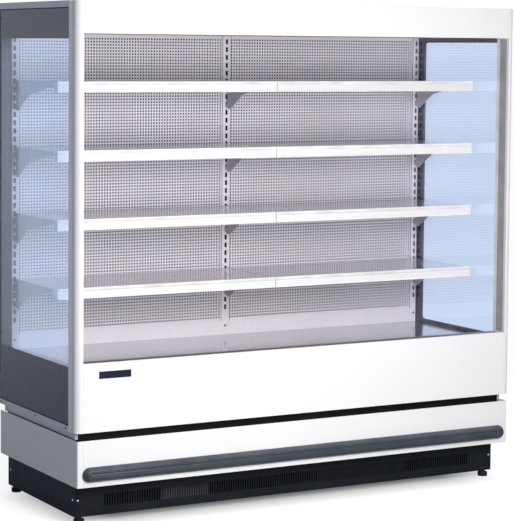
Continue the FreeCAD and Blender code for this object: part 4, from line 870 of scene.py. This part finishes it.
def shelf(name):
    """The tray, ticket rail, card and end caps of one shelf, in the shelf's own box."""
    low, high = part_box(name)
    top, front, rear = high.z, low.y, high.y
    back = front + rail_thick
    under = top - drop - sheet
    x0, x1 = low.x + cap, high.x - cap
    form = bmesh.new()
    fold = [(back, low.z + fold_foot), (back, top - drop), (rear, top - drop),
            (rear, under - flange), (rear - sheet, under - flange), (rear - sheet, under),
            (back + sheet, under), (back + sheet, low.z + fold_foot)]
    profile(form, fold, x0, x1, fold_edge)
    for x in (low.x + inset, high.x - inset - sheet):
        bar(form, (x, front + cap_depth, under - flange),
            (x + sheet, rear - sheet, under + overlap))
    piece(name + "_tray", form, shelf_steel, name, "shelf_paint", name)
    form = bmesh.new()
    section = [(front, top), (back, top), (back, low.z), (front, low.z),
               (front, low.z + rail_foot), (front + recess_foot, low.z + recess_low),
               (front + recess_depth, top - recess_top - recess_slope),
               (front + recess_lip, top - recess_top), (front, top - land_low),
               (front, top - groove_low), (front + groove_depth, top - groove_floor_low),
               (front + groove_depth, top - groove_floor_top), (front, top - groove_top)]
    profile(form, section, x0, x1, rail_edge)
    piece(name + "_ticket_rail", form, rail_plastic, name, "shelf_paint")
    form = bmesh.new()
    bar(form, (x0 + card_inset, front + card_front, low.z + card_foot),
        (x1 - card_inset, front + card_rear, top - recess_top - card_head), 0)
    piece(name + "_ticket_card", form, card, name, "shelf_paint")
    form = bmesh.new()
    for x in (low.x, high.x - cap):
        hollow = [(front + cap_depth - cap_hollow * math.sin(math.pi * i / cap_steps),
                   low.z + (under - low.z) * i / cap_steps) for i in range(cap_steps + 1)]
        outline = [(front, top), (front, low.z)] + hollow + [(back, under), (back, top)]
        profile(form, outline, x, x + cap, cap_edge)
    piece(name + "_end_caps", form, rail_plastic, name, "shelf_paint")


for side in ("left", "right"):
    for level in range(1, 5):
        shelf("shelf_%s_%d" % (side, level))

# Screws. Zinc-plated button heads hold the kick plates, and dark ones the bottom bars of the
# end walls. Each sits on its own shank in the sheet.

head_in_sheet, screw_length, plinth_top = 0.0022, 0.009, 0.2
screw_metal = look("screw_metal", rolled_sheet, Color=(0.62, 0.62, 0.64, 1), Roughness=0.25,
                   Spangle=0.02, Dust=0.1, shader_values={"Metallic": 1.0})


def islands(form):
    """The lowest and highest corner of each separate shell of a form."""
    found = set()
    for start in form.verts:
        if start in found:
            continue
        found.add(start)
        shell = [start]
        for v in shell:
            for other in [e.other_vert(v) for e in v.link_edges]:
                if other not in found:
                    found.add(other)
                    shell.append(other)
        yield [Vector(pick(v.co[i] for v in shell) for i in range(3)) for pick in (min, max)]


whole = merged("cover_screws")
zinc_heads, dark_heads = bmesh.new(), bmesh.new()
for low, high in islands(whole):
    reach = high - low
    axis = 0 if reach.x > reach.y else 1
    outward = Vector((0, 0, 0))
    outward[axis] = 1 if (low + high)[axis] > 0 else -1
    seat = (low + high) / 2
    seat[axis] = (high if outward[axis] > 0 else low)[axis] - outward[axis] * head_in_sheet
    screw(dark_heads if seat.z > plinth_top else zinc_heads, seat, outward, screw_length)
whole.free()
piece("kick_plate_screws", zinc_heads, screw_metal, "cabinet", "screw_steel", "cover_screws")
piece("end_wall_screws", dark_heads, dark_screw, "cabinet", "screw_steel")

[[list(corner) for corner in box] for box in (cad_box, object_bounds())]
